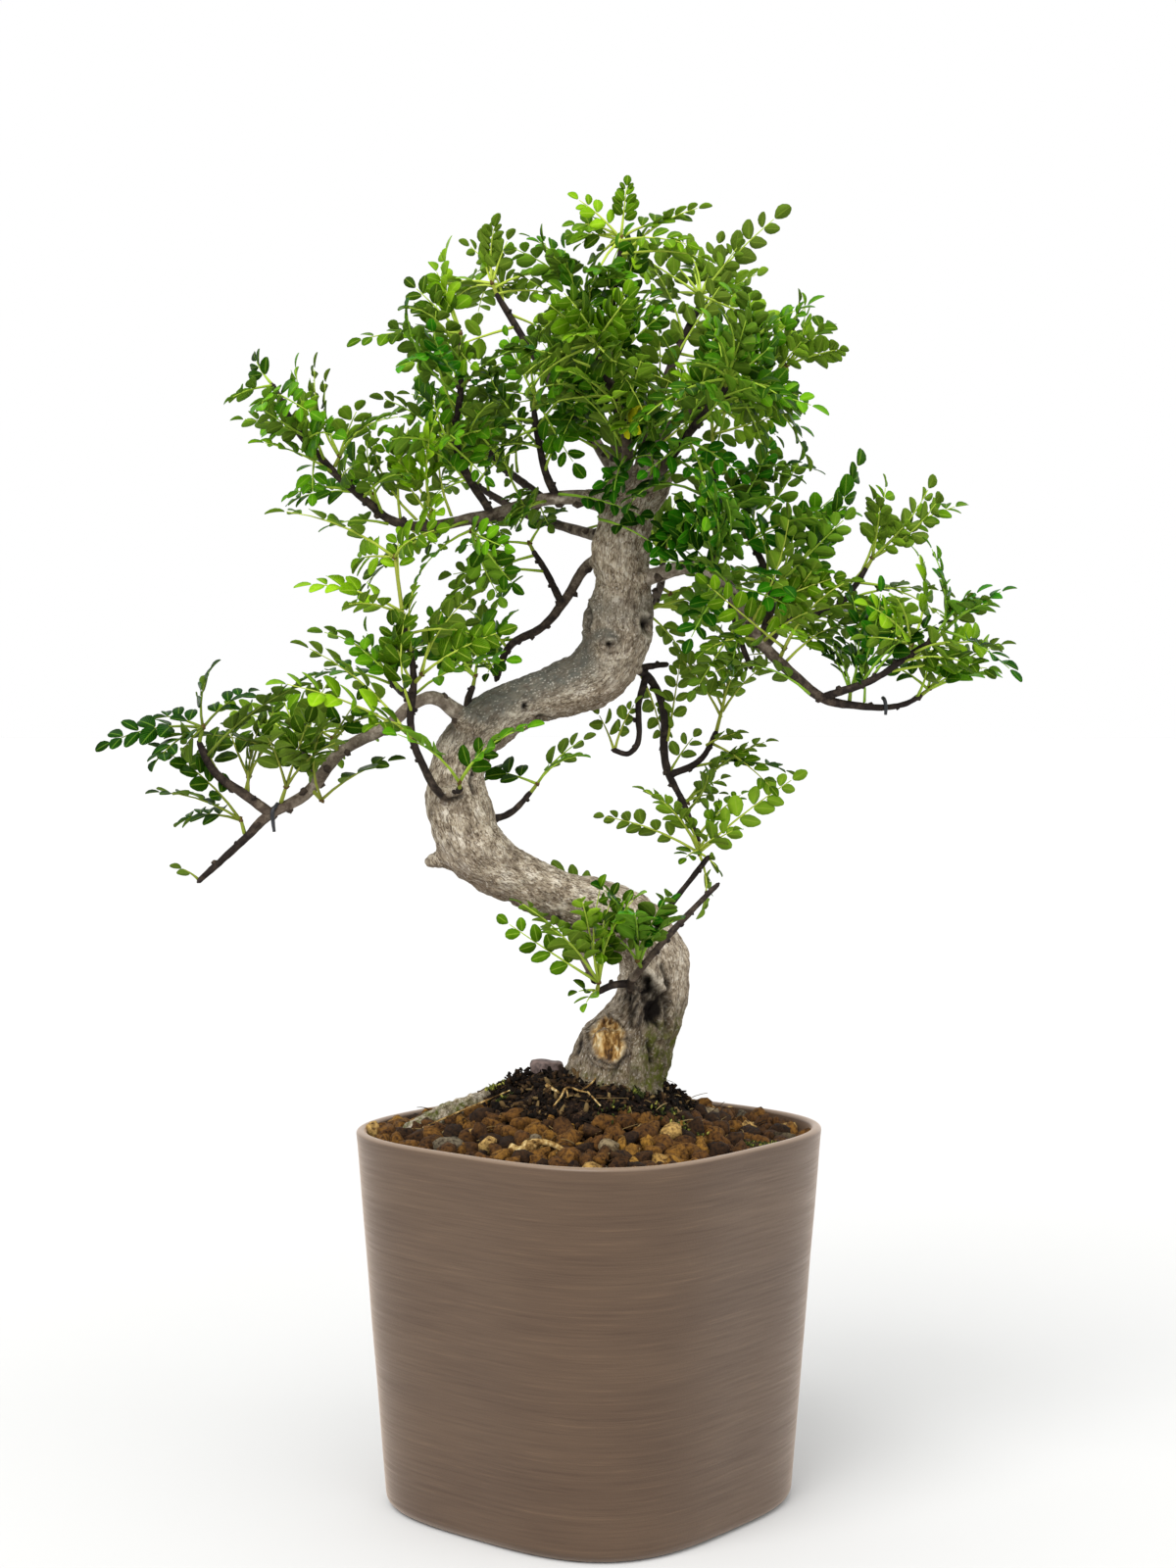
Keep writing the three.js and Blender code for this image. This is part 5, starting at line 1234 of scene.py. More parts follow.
# %% [markdown]
# ## The leaves
# Each leaf is a frond: a thin stalk with pairs of small round leaflets and one at its end. Fronds
# spring in sprays from buds on the twigs. The table gives each spray's tone, the place on the twig
# it leaves, its bud, and each frond's tip. A tip's fourth value puts the frond lower on the stem.
# %% Sprays: name, tone, start, bud and frond tips in mm
SPRAYS = [
    ("lower_left_tip", "deep", (-171, -42, 346), (-169, -44, 353), [(-162, -52, 382), (-194, -30, 358),
        (-148, -22, 370), (-214, -54, 343), (-186, -76, 336)]),
    ("lower_left_stub", "mid", (-152, -34, 304), (-154, -34, 312), [(-193, -48, 325), (-186, -12, 309)]),
    ("lower_left_heart", "olive", (-152, -36, 323), (-151, -30, 331), [(-136, -20, 368),
        (-166, 10, 356)]),
    ("lower_left_knee", "olive", (-137, -33, 318), (-133, -42, 327), [(-120, -50, 362),
        (-103, -84, 348)]),
    ("lower_left_mid", "mid", (-111, -31, 341), (-113, -37, 348), [(-134, -76, 356), (-98, -46, 370)]),
    ("lower_left_low", "olive", (-123, -33, 326), (-118, -38, 321), [(-82, -58, 340)]),
    ("left_shoot_low", "lime", (-77, -42, 347), (-80, -48, 351), [(-135, -60, 373), (-131, -22, 391)]),
    ("left_shoot_mid", "lime", (-77, -44, 372), (-73, -48, 376), [(-32, -64, 396), (-55, -28, 420)]),
    ("left_shoot_top", "lime", (-81, -44, 397), (-85, -44, 427), [(-140, -52, 447), (-60, -76, 438),
        (-106, 0, 428), (-128, -50, 415, 0.2)]),
    ("left_trunk_twig", "mid", (-53, -4, 371), (-52, -2, 376), [(-74, 8, 408), (-32, 12, 422)]),
    ("left_trunk_front", "mid", (-57, -40, 326), (-57, -45, 329), [(-20, -62, 355), (-86, -80, 352)]),
    ("inner_twig", "mid", (-27, 0, 323), (-24, 0, 327), [(3, 8, 350), (-50, 24, 333)]),
    ("back_left_tip", "mid", (-43, 18, 375), (-45, 20, 379), [(-80, 38, 394), (-50, 54, 413)]),
    ("back_left_side", "mid", (-26, 28, 434), (-28, 30, 438), [(-63, 46, 437), (-12, 74, 457)]),
    ("upper_left_reach", "mid", (-122, -24, 476), (-120, -31, 478), [(-157, -44, 487), (-128, -46, 515)]),
    ("upper_left_bend", "olive", (-114, -23, 467), (-111, -24, 473), [(-117, -38, 513), (-76, -62, 486)]),
    ("upper_left_knee", "mid", (-95, -19, 451), (-97, -13, 457), [(-112, 12, 491), (-140, 14, 455)]),
    ("upper_left_bud", "lime", (-71, -14, 445), (-71, -18, 450), [(-100, -58, 482), (-64, -52, 494)]),
    ("upper_left_under", "mid", (-50, -12, 447), (-53, -16, 441), [(-78, -26, 416), (-30, -30, 412)]),
    ("upper_mid_low", "mid", (-59, -22, 477), (-63, -26, 479), [(-98, -32, 502), (-80, 14, 512)]),
    ("upper_mid_top", "olive", (-57, -26, 523), (-57, -26, 527), [(-106, -38, 521), (-82, -22, 552),
        (-62, -24, 570)]),
    ("upper_mid_front", "deep", (-57, -28, 503), (-53, -34, 506), [(-67, -78, 525), (-24, -70, 515)]),
    ("upper_inner", "mid", (-25, -18, 495), (-24, -22, 500), [(-38, -46, 531), (0, -66, 498)]),
    ("upper_back_left", "mid", (-51, 35, 491), (-53, 40, 495), [(-91, 58, 512), (-66, 74, 537)]),
    ("crown_tip", "lime", (14, -12, 568), (14, -12, 572), [(17, -14, 599), (46, 4, 583), (-13, -8, 578)]),
    ("crown_left_top", "mid", (0, 2, 543), (-2, 4, 548), [(-32, 12, 579), (-18, -38, 560)]),
    ("crown_front_top", "mid", (12, -7, 510), (10, -16, 514), [(-14, -58, 531), (30, -54, 541)]),
    ("crown_right_top", "olive", (52, 50, 552), (52, 51, 557), [(94, 50, 598), (42, 78, 591),
        (82, 92, 560), (22, 102, 558)]),
    ("crown_left_tip", "lime", (-44, 50, 557), (-46, 50, 562), [(-43, 44, 594), (-81, 80, 563),
        (-56, 104, 552)]),
    ("crown_right_end", "olive", (86, 10, 515), (90, 10, 518), [(117, -10, 523), (114, 32, 541)]),
    ("crown_right_mid", "mid", (73, 12, 508), (74, 14, 514), [(104, 14, 547), (60, -8, 553)]),
    ("crown_right_low", "mid", (60, 11, 502), (62, 7, 497), [(94, -18, 502), (102, 4, 486)]),
    ("crown_front_left", "olive", (3, -60, 513), (3, -62, 517), [(-16, -86, 540), (20, -92, 536),
        (-31, -92, 496)]),
    ("crown_front_right", "mid", (58, -62, 498), (59, -64, 502), [(81, -76, 524), (42, -90, 529),
        (85, -92, 487), (16, -92, 476)]),
    ("right_shoot_top", "lime", (56, -6, 469), (55, -6, 492), [(38, -24, 515), (80, -46, 502)]),
    ("right_shoot_side", "deep", (55, -6, 458), (50, -16, 457), [(15, -52, 444), (40, -54, 434)]),
    ("right_front", "deep", (58, -21, 419), (54, -30, 422), [(43, -50, 462), (26, -68, 424)]),
    ("right_high", "mid", (73, 6, 439), (73, 8, 444), [(98, 6, 480), (60, 46, 465)]),
    ("right_high_far", "mid", (82, -6, 414), (86, -8, 418), [(118, -20, 450), (125, 12, 480)]),
    ("right_bud", "lime", (84, -26, 383), (86, -31, 388), [(114, -64, 417), (44, -84, 418)]),
    ("right_back", "olive", (128, 24, 426), (131, 24, 431), [(158, 12, 468), (177, 38, 457)]),
    ("right_end_top", "deep", (151, -48, 392), (154, -48, 395), [(184, -52, 414), (170, -88, 405)]),
    ("right_end_upright", "olive", (137, -45, 383), (140, -47, 389), [(143, -50, 434), (112, -82, 407)]),
    ("right_end_low", "mid", (147, -25, 367), (151, -25, 370), [(188, -30, 391), (188, 4, 377)]),
    ("right_low_mid", "deep", (115, -28, 363), (116, -24, 369), [(103, -4, 398), (144, 2, 398)]),
    ("hanging_top", "lime", (60, 48, 350), (63, 48, 362), [(67, 50, 394), (40, 68, 392)]),
    ("hanging_end", "lime", (51, 32, 299), (51, 28, 294), [(20, 14, 326), (70, 10, 307), (1, 18, 312),
        (50, 6, 264), (101, 30, 332)]),
    ("hanging_side", "mid", (42, 36.5, 320), (46, 41, 317), [(82, 56, 345)]),
    ("foot_front", "olive", (3, -29, 235), (4, -33, 240), [(-34, -62, 280), (13, -42, 286),
        (-42, -30, 270)]),
    ("foot_right", "deep", (23, -28, 246), (21, -36, 250), [(39, -54, 281), (8, -88, 264)]),
    ("rear_right", "mid", (36, 92, 436), (37, 94, 440), [(72, 118, 462), (4, 122, 458)]),
    ("rear_right_side", "olive", (34, 72, 420), (39, 74, 417), [(84, 84, 424), (48, 112, 404)]),
    ("rear_upper", "mid", (-56, 74, 470), (-58, 76, 474), [(-98, 92, 494), (-56, 116, 492)]),
    ("rear_left", "mid", (-92, 18, 374), (-94, 21, 378), [(-132, 32, 398), (-84, 60, 402)]),
    ("rear_lower_left", "olive", (-132, 6, 344), (-133, 9, 348), [(-176, 22, 362), (-120, 48, 368)]),
]
# %% [markdown]
# ### Room for every frond
# The solid model turns each frond about its stalk, and if need be leans it forward or back, until it
# is clear of the wood and of its neighbours. The same search with the same numbers finds the same
# places here, so that each dressed spray lies where its solid is.
# %% Fronds: how far a point is from the wood
GAP_TO_LEAF = 4.5
GAP_TO_WOOD = 1.6
LONGEST_FROND = 76
PETIOLE_SHARE = 0.24
CUP = 0.22
LEANS = (0, 7, -7, 14, -14, 22, -22, 30, -30, 38, -38, 46, -46)
TURNS = (0, 0.5, -0.5, 1, -1, 1.6)
FRONT, SIDE = (1, 0, 1), (0, 1, 1)
rows = [np.array(route, dtype=float) for route in (TRUNK, *BRANCHES.values())]
wood_starts = np.concatenate([row[:-1] for row in rows])
wood_ends = np.concatenate([row[1:] for row in rows])


def wood_distance(points):
    """The distance in mm from each point to the wood's surface, below zero inside it."""
    axis = wood_ends[:, :3] - wood_starts[:, :3]
    length = np.linalg.norm(axis, axis=1)
    offset = np.atleast_2d(points)[:, None] - wood_starts[None, :, :3]
    along = (offset * axis).sum(2) / length
    share = np.clip(along / length, 0, 1)
    radius = wood_starts[:, 3] + (wood_ends[:, 3] - wood_starts[:, 3]) * share
    away = np.sqrt(np.maximum((offset**2).sum(2) - along**2, 0)) - radius
    beyond = np.maximum(-along, along - length)
    outside = np.hypot(np.maximum(away, 0), np.maximum(beyond, 0))
    return np.where(outside > 0, outside, np.maximum(away, beyond)).min(1)


def across_of(way):
    """Two directions across a stem."""
    side = unit(np.cross((0.3, 0.5, 0.8), way))
    return side, np.cross(side, way)


def stem_start(start, bud):
    """The first place on the way to the bud where a stem 1 mm in radius clears the wood."""
    way = unit(bud - start)
    side, other = across_of(way)
    place = start.copy()
    while wood_distance(place + np.array([0 * side, side, -side, other, -other])).min() <= GAP:
        place = place + way * 0.1
    return place


# %% Fronds: a frond's own frame, and points in it
def frond_frame(base, tip, roll, arch):
    span = tip - base
    ahead = unit(span)
    outward = unit(np.array([base[0] + tip[0] - 20, base[1] + tip[1], 0.0]))
    facing = np.array([0, 0, 0.7]) + 0.6 * outward
    facing = unit(facing - ahead * facing.dot(ahead))
    normal = facing * math.cos(roll) + np.cross(ahead, facing) * math.sin(roll)
    return {
        "base": base, "length": float(np.linalg.norm(span)), "ahead": ahead, "normal": normal,
        "side": np.cross(ahead, normal), "arch": arch, "young": False, "yellow": False,
    }


def in_frond(frond, along, sideways, lift):
    """Places at distances along a frond, beside its stalk and above its blade."""
    along, sideways, lift = (np.asarray(v, dtype=float)[..., None] for v in (along, sideways, lift))
    share = along / frond["length"]
    rise = frond["arch"] * frond["length"] * 4 * share * (1 - share)
    up = frond["normal"] - frond["ahead"] * (frond["arch"] * 4 * (1 - 2 * share))
    up = up / np.linalg.norm(up, axis=-1, keepdims=True)
    place = frond["base"] + frond["ahead"] * along + frond["normal"] * rise + frond["side"] * sideways
    return place + up * (CUP * np.abs(sideways) + lift)


def frond_samples(frond):
    """Points spread over a frond, to test how near it comes to its neighbours."""
    length = frond["length"]
    reach = 0.43 * length if length < 44 else 0.3 * length + 3
    along = np.arange(length * PETIOLE_SHARE, length, 5)
    across = 0.95 * reach * np.arange(-3, 4) / 3
    grid = np.meshgrid(along, across, indexing="ij")
    blade = in_frond(frond, grid[0].ravel(), grid[1].ravel(), 0 * grid[0].ravel())
    return np.vstack([blade, in_frond(frond, [length], [0], [0])])


# %% Fronds: the search for a clear place
def tree_of(points):
    grown = kdtree.KDTree(max(len(points), 1))
    for index, point in enumerate(points):
        grown.insert(point, index)
    grown.balance()
    return grown


def nearest_of(grown, points):
    return min((grown.find(point)[2] or 1e9) for point in points)


def place_frond(base, tip, seed, neighbours):
    draws = random_source(seed)
    first_roll = (next(draws) - 0.5) * 1.3
    arch = 0.05 + 0.07 * next(draws)
    best, best_room = None, -1e9
    for depth in LEANS:
        for turn in TURNS:
            frond = frond_frame(base, tip + np.array([0, depth, 0]), first_roll + turn, arch)
            if best and frond["length"] > LONGEST_FROND:
                continue
            samples = frond_samples(frond)
            leaf_room = nearest_of(neighbours, samples) / GAP_TO_LEAF
            room = min(leaf_room, wood_distance(samples).min() / GAP_TO_WOOD)
            if room > best_room:
                best, best_room = frond, room
            if best_room >= 1:
                return best
    return best


UNFOLDING = ("crown_tip", "crown_left_tip", "crown_right_end")
placed = []
sprays = []
for number, (name, tone, start, bud, tips) in enumerate(SPRAYS):
    neighbours = tree_of(np.concatenate(placed)) if placed else tree_of([(0, 0, -1e6)])
    bud = np.array(bud, dtype=float)
    foot = stem_start(np.array(start, dtype=float), bud)
    fronds = []
    for index, tip in enumerate(tips):
        base = foot + (bud - foot) * (tip[3] if len(tip) > 3 else 1)
        fronds.append(place_frond(base, np.array(tip[:3], dtype=float), number * 10 + index + 1, neighbours))
    fronds[0]["young"] = name in UNFOLDING
    placed.append(np.concatenate([frond_samples(frond) for frond in fronds]))
    sprays.append({"name": name, "tone": tone, "foot": foot, "bud": bud, "fronds": fronds})
print("sprays:", len(sprays), " fronds:", sum(len(spray["fronds"]) for spray in sprays))

# %% [markdown]
# ### Filling out the sprays
# A real bud carries a few more fronds of all ages than the solid model shows, and young twigs have a
# frond at nearly every node. Each new frond is tried at random turns, and stays only where it finds
# room between those that stand already. It joins the piece of the nearest bud.
# %% Fronds: younger fronds round the buds
ROOM_BETWEEN = 1.5
ROOM_TO_WOOD = 0.9
OUTLINE_MARGIN = 7
BUD_TRIES = 90
TWIG_TRIES = 24
first_fronds = np.concatenate(placed)
outlines = [(view, tree_of(first_fronds * view)) for view in (FRONT, SIDE)]


def finds_room(frond, grown, recent):
    """True where a frond keeps the tree's outline and its outer part is clear of wood and leaves."""
    samples = frond_samples(frond)
    outer = samples[len(samples) // 4 :]
    for view, outline in outlines:
        if any(outline.find(point * view)[2] > OUTLINE_MARGIN for point in outer):
            return False
    if wood_distance(samples).min() < ROOM_TO_WOOD or nearest_of(grown, outer) < ROOM_BETWEEN:
        return False
    if not recent:
        return True
    return np.linalg.norm(outer[:, None] - np.concatenate(recent)[None], axis=2).min() > ROOM_BETWEEN


# By the start of a name: fronds added at each bud, and mm between the fronds along a twig
GROWTH = {
    "crown": (7, 2.1), "rear": (6, 2), "back_left": (2, 5), "back": (6, 2), "right_bud": (1, 4),
    "right": (4, 3.4), "upper": (2, 5), "": (1, 11),
}


def named_row(table, name):
    """The first row of a table whose key starts the name; the last key is empty and fits all."""
    return next(row for start, row in table.items() if name.startswith(start))


for number, spray in enumerate(sprays):
    grown = tree_of(np.concatenate(placed))
    draws = random_source(SEEDS["bud_fronds"] + number)
    mean = sum(frond["ahead"] for frond in spray["fronds"]) / len(spray["fronds"])
    recent = []
    for attempt in range(BUD_TRIES):
        if len(recent) >= named_row(GROWTH, spray["name"])[0]:
            break
        way = unit(mean * 0.9 + np.array([next(draws) - 0.5, next(draws) - 0.5, next(draws) - 0.45]) * 2.1)
        base = spray["foot"] + (spray["bud"] - spray["foot"]) * (1 - 0.5 * next(draws) ** 2)
        tip = base + way * (26 + 30 * next(draws))
        frond = frond_frame(base, tip, (next(draws) - 0.5) * 2.2, 0.05 + 0.09 * next(draws))
        if finds_room(frond, grown, recent):
            spray["fronds"].append(frond)
            recent.append(frond_samples(frond))
    placed.extend(recent)

# %% Fronds: a few more, listed one by one, which the solid model leaves out: base, tip and turn of each
ADDED = {
    "lower_left_stub": [((-173, -32, 285.5), (-184, -35, 292), 0.3)],
    "upper_left_reach": [((-140, -27, 504), (-160, -42, 494), 0.4), ((-140, -27, 504),
        (-150, -16, 520), -0.4)],
    "hanging_top": [((11, 16, 342.5), (1, 30, 364), 0.5), ((36.5, 37, 346), (43, 34, 388), 0.4),
        ((62.5, 48, 357), (37, 44, 391), 0.3), ((63, 48, 360), (86, 44, 384), 0.6), ((22, 25.5, 380),
        (35, 44, 338), 0.2), ((11.5, 16.5, 342), (24, 22, 368), 0.5), ((55, 44, 344), (74, 34, 350), 0.3),
        ((63, 48, 360), (58, 24, 388), -0.3)],
    "left_shoot_top": [((-81, -45, 402), (-104, -86, 404), 0.2)],
    "right_shoot_side": [((-14, -12, 457.5), (32, -29, 441), 0.0), ((4, -16.5, 446),
        (35, -36, 428), 0.2)],
    "right_front": [((58, -23, 419), (56, -84, 452), 0.0)],
    "rear_right_side": [((37, 94, 438), (46, 118, 470), 0.3)],
    "rear_upper": [((-57, 75, 472), (-82, 108, 462), 0.3)],
    "crown_left_tip": [((-44, 50, 557), (-8, 88, 560), 0.2)],
    "upper_inner": [((-20, -12, 468), (-4, -34, 488), 0.3), ((-22, -14, 478), (-46, -36, 474), -0.2),
        ((-24, -23, 500), (-3, -26, 464), 0.3), ((-24, -17.5, 486), (-46, -30, 468), 0.3)],
    "crown_right_top": [((38, 42, 522), (66, 40, 566), 0.2), ((44, 46, 536), (26, 38, 572), -0.3),
        ((31, 28, 497), (30, 4, 546), 0.2)],
    "crown_front_top": [((10, -16, 513), (-14, -40, 474), 0.2), ((10, -16, 514), (38, -24, 540), 0.2)],
    "upper_mid_low": [((-63, -26, 479), (-30, -40, 484), 0.3), ((-63, -26, 479), (-42, -46, 458), 0),
        ((-50, -17, 462), (-28, -36, 476), 0.2)],
    "hanging_side": [((38, 37.5, 332), (52, 34, 352), 0.2), ((46, 40, 318), (66, 28, 330), 0.2),
        ((44, 37, 317), (66, 44, 321), -0.2)],
    "foot_front": [((4, -33, 240), (-4, -76, 282), 0.2), ((4, -33, 240), (23, -70, 284), -0.2),
        ((2, -29, 236), (-9, -36, 235), 0.1), ((3, -30, 236), (-3, -44, 228), 0.5), ((4, -33, 240),
        (-20, -80, 270), 0.6), ((4, -33, 240), (6, -62, 290), -0.3)],
    "foot_right": [((22, -34, 249), (40, -70, 272), 0.3), ((24, 5, 263), (-17, 9, 290.5), 1.2),
        ((21, -36, 250), (18, -82, 276), 0.2), ((21, -36, 250), (34, -76, 284), -0.4)],
    "hanging_end": [((50.5, 28, 296), (39, 16, 317), -0.2), ((51, 28, 295), (60, 12, 303), 0.2),
        ((51, 28, 295), (42, 14, 290), 0.4), ((51, 28, 294), (61, 18, 284), 0), ((51, 28, 296),
        (29, 4, 322), 0.5)],
    "crown_front_left": [((14.5, -45, 483), (27, -69, 483), 0.9)],
    "crown_right_mid": [((44, 10, 498), (28, 2, 537), -0.2)],
    "upper_back_left": [((-33, 7, 469), (-28, -12, 494), 0.2)],
    "upper_left_under": [((-31, -10, 456), (-38, -28, 480), 0.2)],
}
YELLOWED = "crown_front_left"        # the frond added to this spray is an old one
for spray in sprays:
    for base, tip, turn in ADDED.get(spray["name"], ()):
        frond = frond_frame(np.array(base, dtype=float), np.array(tip, dtype=float), turn, 0.08)
        frond["yellow"] = spray["name"] == YELLOWED
        spray["fronds"].append(frond)
        placed.append(frond_samples(frond))
print("with younger fronds:", sum(len(spray["fronds"]) for spray in sprays))

# %% Fronds: along the young twigs, from the share of its length where each twig starts to be leafy
LEAFY_FROM = {
    "upper_left": 0.12, "upper_left_inner": 0.05, "upper_left_back": 0.1, "upper_left_rise": 0.05,
    "back_left": 0.75, "back_left_side": 0.2, "lower_left_up": 0.3, "lower_left_back": 0.3,
    "lower_left_rear": 0.3, "left_rise": 0.45, "right": 0.3, "right_far": 0.25, "right_rise": 0.15,
    "right_inner": 0.2, "right_back": 0.25, "right_droop": 0.5, "crown_middle": 0.05, "crown_peak": 0.1,
    "crown_right": 0.25, "crown_right_back": 0.25, "crown_left_back": 0.25, "crown_front": 0.25,
    "crown_front_right": 0.2, "back_right": 0.35, "back_upper": 0.3, "hanging": 0.85, "hanging_side": 0.4,
}
buds = np.array([spray["bud"] for spray in sprays])
for number, (name, share) in enumerate(LEAFY_FROM.items()):
    row = stations(BRANCHES[name], 1)
    grown = tree_of(np.concatenate(placed))
    draws = random_source(SEEDS["twig_fronds"] + number)
    recent = []
    spot = share * len(row)
    front = -0.55 if name.startswith(("upper", "crown")) else 0
    while spot < len(row) - 1:
        at, radius = row[int(spot), :3], row[int(spot), 3]
        twig_way = unit(row[min(int(spot) + 2, len(row) - 1), :3] - row[int(spot) - 2, :3])
        outside = unit(at - (12, 0, at[2] - 30))
        for attempt in range(TWIG_TRIES):
            loose = np.array([next(draws), next(draws), next(draws)]) - 0.5
            way = unit(loose * 2.6 + 0.45 * outside + 0.3 * twig_way + (0, front, 0.25))
            across = unit(way - twig_way * way.dot(twig_way))
            base = at + across * (radius - 0.3)
            tip = base + way * (30 + 28 * next(draws))
            frond = frond_frame(base, tip, (next(draws) - 0.5) * 2.0, 0.05 + 0.09 * next(draws))
            if finds_room(frond, grown, recent):
                nearest_spray = sprays[int(np.linalg.norm(buds - base, axis=1).argmin())]
                nearest_spray["fronds"].append(frond)
                recent.append(frond_samples(frond))
                break
        spot += named_row(GROWTH, name)[1] * (0.6 + 0.8 * next(draws))
    placed.extend(recent)
print("with fronds along the twigs:", sum(len(spray["fronds"]) for spray in sprays))

# %% [markdown]
# ### A leaflet
# A leaflet is up to 15 mm long, round or slightly egg-shaped, folded a little along its midrib. It is
# a grid that is drawn in to the outline and given a real thickness, so it's a closed thin solid with
# a top and an underside. Three outlines are enough. Its points keep how far along and how far out
# they are, which later places them in a frond and gives the material its veins.
# %% Leaflet: templates
def leaflet_shape(bulge, width):
    bm = bmesh.new()
    bmesh.ops.create_grid(bm, x_segments=6, y_segments=2, size=0.5)
    bmesh.ops.solidify(bm, geom=bm.faces[:], thickness=0.1)
    mesh, points = template(bm)
    along = 0.5 - 0.5 * np.cos(math.pi * np.clip(points[:, 0] + 0.5, 0, 1))
    outline = np.sin(math.pi * (0.02 + 0.95 * along) ** bulge) ** 0.62
    outward = np.clip(2 * points[:, 1], -1, 1)
    under = np.where(points[:, 2] > points[:, 2].mean(), 0.0, 1.0)
    return mesh, along, outward, outline * width / 2, under


leaflet_shapes = [leaflet_shape(1.0, 0.7), leaflet_shape(1.16, 0.78), leaflet_shape(1.05, 0.6)]
bud_mesh, bud_points = rough_lump(0.4, 9)


def leaflet_copy(frond, along, hand, length, draws, tone):
    """One leaflet from a place on the stalk; hand is 1 or -1 for a side and 0 for the end."""
    mesh, share, outward, half, under = picked(leaflet_shapes, draws)
    here, further, above, beside = in_frond(
        frond, [along, along + 1, along, along], [0, 0, 0, 1], [0, 0, 1, -CUP]
    )
    ahead, up, side = unit(further - here), unit(above - here), unit(beside - here)
    spread = 62 - 22 * along / frond["length"] - 8 * frond["young"]
    lean = math.radians(spread + 16 * (next(draws) - 0.5)) * abs(hand)
    rise = 0.22 + 0.55 * (next(draws) - 0.5)
    aside = side * hand + up * rise * abs(hand)
    way = ahead * math.cos(lean) + aside * math.sin(lean) + up * 0.12 * (next(draws) - 0.5)
    way = unit(way)
    twist = 0.9 * (next(draws) - 0.5)
    flat = unit(up - way * up.dot(way))
    across = np.cross(way, flat)
    cos, sin = math.cos(twist), math.sin(twist)
    flat, across = flat * cos + across * sin, across * cos - flat * sin
    fold = 0.12 + 0.4 * next(draws)
    curl = 0.1 + 0.16 * next(draws)
    out = half * outward * length
    height = fold * np.abs(out) - curl * length * share**2 - 0.24 * under
    points = here + np.outer(share * length + 0.9, way) + np.outer(out, across) + np.outer(height, flat)
    marks = np.stack([share, np.abs(outward), np.full(len(share), tone), 0.5 * under], 1)
    return mesh, points, marks


# %% Frond: stalk and leaflets
PAIR_SPACING, YOUNG_SPACING = 0.92, 0.4        # in shares of a leaflet's length
LOST_LEAFLETS = 0.035
YELLOW_TONE = 3


def round_stalk(thick, side, other):
    """How far each point of the straw is from its line, where it is a stalk."""
    return np.outer(straw_points[:, 1] * thick, side) + np.outer(straw_points[:, 2] * thick, other)


def frond_copies(frond, draws, ripe, light, scale):
    length = frond["length"]
    size = (5.5 + 0.056 * length) * (0.82 + 0.28 * ripe)
    young = frond["young"]
    last = length - 0.93 * size
    first = length * PETIOLE_SHARE
    pairs = max(1, round((last - first) / ((YOUNG_SPACING if young else PAIR_SPACING) * size)))
    reach = straw_points[:, 0] * last
    thick = 0.8 - 0.4 * straw_points[:, 0]
    stalk = in_frond(frond, reach, 0 * reach, 0 * reach) + round_stalk(thick, frond["side"], frond["normal"])
    # A stalk's second mark browns it as painted shade, more where its spray's light is low.
    copies = [(straw_mesh, stalk, (0, 0.5 - 0.5 * light, next(draws), 1))]
    # Fronds deep inside the tree, near the wood, get painted shade: a darker tone.
    shaded = 1 - smooth_step(6, 32, wood_distance(in_frond(frond, 0.6 * length, 0, 0))[0])
    tone = light * next(draws) - 0.4 * shaded
    for pair in range(pairs):
        along = first + (last - first) * (pair + 0.25) / pairs
        plump = scale * size * (0.82 + 0.3 * math.sin(math.pi * (pair + 0.9) / (pairs + 0.6)))
        plump *= 1 - (0.5 if young else 0.3) * (pair / pairs) ** 1.5
        for hand in (1, -1):
            if next(draws) < LOST_LEAFLETS:
                continue
            spot = along + 1.6 * (next(draws) - 0.5)
            shade = min(1, max(0, tone + 0.5 * (next(draws) - 0.5)))
            if frond["yellow"]:
                shade = YELLOW_TONE
            blade = plump * (0.9 + 0.2 * next(draws))
            copies.append(leaflet_copy(frond, spot, hand, blade, draws, shade))
    copies.append(leaflet_copy(frond, last, 0, scale * size * (0.7 + 0.2 * next(draws)), draws, tone))
    return copies


def stem_copies(spray, draws):
    foot, bud = spray["foot"], spray["bud"]
    way = unit(bud - foot)
    root = foot - way * 1.2
    reach = np.linalg.norm(bud - root)
    thick = 1.0 + 0.5 * straw_points[:, 0]
    stem = root + np.outer(straw_points[:, 0] * reach, way)
    stem += round_stalk(thick, *across_of(way))
    copies = [(straw_mesh, stem, (0, 0.5, next(draws), 1))]
    for size, push in ((1.5, 0.0), (1.0, 1.1), (0.8, -1.4)):
        lump = turned(bud_points, size * np.array([1, 0.85, 0.85]), draws) + bud + way * push
        copies.append((bud_mesh, lump, (0, 1, next(draws), 1)))
    return copies


# %% [markdown]
# ### Leaf skin
# The upper side is waxy and bright, with a pale midrib and fine side veins, and the underside is
# paler and matt. Young sprays are lime, older ones deep green. One function paints all four tones,
# because only the colours and the gloss differ: each leaflet's mark moves it along its tone's ramp.
# That mark also carries painted shade: it is lower in shaded sprays and in fronds deep inside the
# tree, near the wood.
# %% Leaves: material for a tone
TONE_STEPS = (0.0, 0.35, 0.68, 1.0)
VEIN_COUNT = 44.0


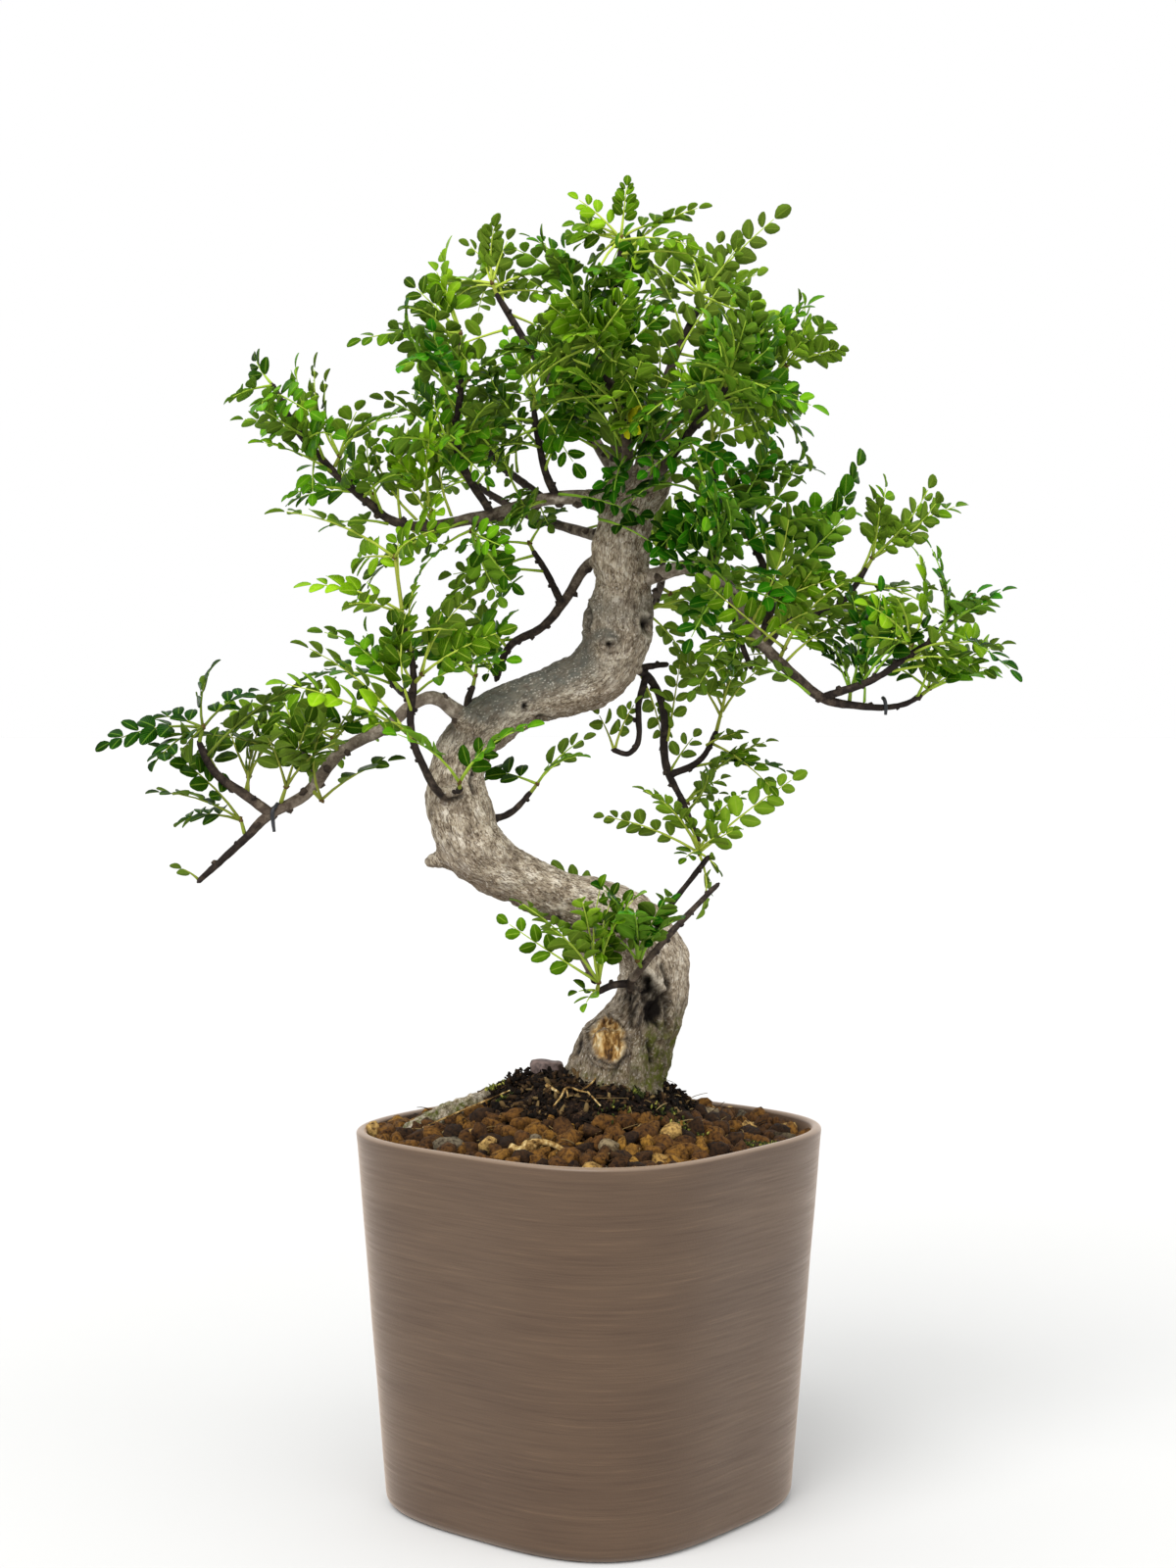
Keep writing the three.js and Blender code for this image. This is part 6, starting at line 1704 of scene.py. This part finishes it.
def leaf_material(name, greens, stalk, gloss):
    made, tree, shader = start_material(name, Specular_IOR_Level=0.045, Specular_Tint=(0.75, 0.95, 0.4, 1))
    place = add(tree, "TexCoord", out="Object")
    # The third mark is each leaflet's tone: random, lowered by painted shade in shaded sprays and near the
    # wood, and from 1.5 up the yellowed frond.
    along, outward, age, side = read_marks(tree)
    blotch = add(tree, "TexNoise", {"Vector": place, "Scale": 330, "Detail": 3, "Roughness": 0.6})
    varied = add(tree, "Math", [blotch, 0.55, age], operation="MULTIPLY_ADD")
    spread = add(tree, "MapRange", {"Value": varied, "From Min": 0.15, "From Max": 1.4})
    green = add(tree, "ValToRGB", {"Fac": spread}, list(zip(TONE_STEPS, greens)))
    slant = add(tree, "Math", [outward, -0.55, along], operation="MULTIPLY_ADD")
    ribs = add(tree, "Math", [slant, VEIN_COUNT], operation="MULTIPLY")
    wave = add(tree, "Math", [ribs], operation="SINE")
    vein = add(tree, "MapRange", {"Value": wave, "From Min": 0.72, "From Max": 1.0, "To Max": 0.16})
    midrib = add(tree, "MapRange", {"Value": outward, "From Min": 0.13, "From Max": 0.02, "To Max": 0.38})
    lines = add(tree, "Math", [vein, midrib], operation="MAXIMUM")
    veined = add(tree, "Mix", {SHARE: lines, UNDER: green, OVER: hex_colour(stalk)}, data_type="RGBA")
    old = add(tree, "MapRange", {"Value": age, "From Min": 1.5, "From Max": 2.0})
    veined = add(tree, "Mix", {SHARE: old, UNDER: veined, OVER: hex_colour("#cccc20")}, data_type="RGBA")
    under = add(tree, "MapRange", {"Value": side, "From Min": 0.1, "From Max": 0.4, "To Max": 0.42})
    paled = add(tree, "Mix", {SHARE: under, UNDER: veined, OVER: hex_colour("#7b9434")}, data_type="RGBA")
    is_stalk = add(tree, "MapRange", {"Value": side, "From Min": 0.7, "From Max": 0.9})
    # Stems and buds are brown wood; a frond's stalk browns by the same mark as painted shade in shaded
    # sprays.
    woody_and_shaded_stalk = {SHARE: outward, UNDER: hex_colour(stalk), OVER: hex_colour("#5d4a2a")}
    woody_and_shaded_stalk = add(tree, "Mix", woody_and_shaded_stalk, data_type="RGBA")
    tone = add(tree, "Mix", {SHARE: is_stalk, UNDER: paled, OVER: woody_and_shaded_stalk}, data_type="RGBA")
    dull = add(tree, "MapRange", {"Value": side, "From Max": 0.5, "To Min": gloss, "To Max": 0.62})
    relief = add(tree, "Math", [lines, -0.8, blotch], operation="MULTIPLY_ADD")
    bump = add(tree, "Bump", {"Height": relief, "Strength": 0.45, "Distance": 0.25 * MM})
    feed(shader, Base_Color=tone, Roughness=dull, Normal=bump)
    return made


leaf_skins = {
    "lime": leaf_material("young_lime_leaf", ("#284702", "#4f7804", "#73a20e", "#9ac81f"), "#b4c64c", 0.38),
    "olive": leaf_material("olive_green_leaf", ("#1b3501", "#3b6003", "#5d8a09", "#81ab16"), "#a6bd46", 0.36),
    "mid": leaf_material("full_green_leaf", ("#0f2f01", "#295b03", "#4a8307", "#6aa412"), "#98b53c", 0.34),
    "deep": leaf_material("deep_green_leaf", ("#052601", "#104b02", "#287206", "#44900e"), "#82aa36", 0.3),
}

# %% Leaves: one piece for each spray; the painted light of each spray, low for shaded sprays, which sets how far up its tones it goes, and its leaflets' size
SPRAY_LIGHT_AND_SIZE = {
    "lower_left": (-0.1, 1.25), "upper_left": (1.1, 1.1), "hanging_end": (0.8, 1.08), "hanging": (0.2, 1),
    "foot_front": (1.1, 1), "foot_right": (0.9, 1.12), "right_bud": (0.5, 0.98),
    "left_shoot": (0.8, 1.12), "": (1, 1.08),
}
for number, spray in enumerate(sprays):
    draws = random_source(SEEDS["leaflets"] + number)
    copies = stem_copies(spray, draws)
    for frond in spray["fronds"]:
        copies += frond_copies(frond, draws, next(draws), *named_row(SPRAY_LIGHT_AND_SIZE, spray["name"]))
    tone = spray["tone"]
    add_piece(
        "leaves_" + spray["name"], gathered("leaves_" + spray["name"], copies), leaf_skins[tone],
        "leaf_" + tone, "spray_" + spray["name"]
    )

# %% [markdown]
# ## Sizes, and the end
# The dressed tree has to keep the solid model's size, so both boxes are printed.
# %% Print the dressed box and finish
dressed_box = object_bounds()
sizes = {"solid_model": cad_box, "dressed_model": dressed_box}
print("dressed, box in mm:", [[round(v * 1000) for v in corner] for corner in dressed_box])
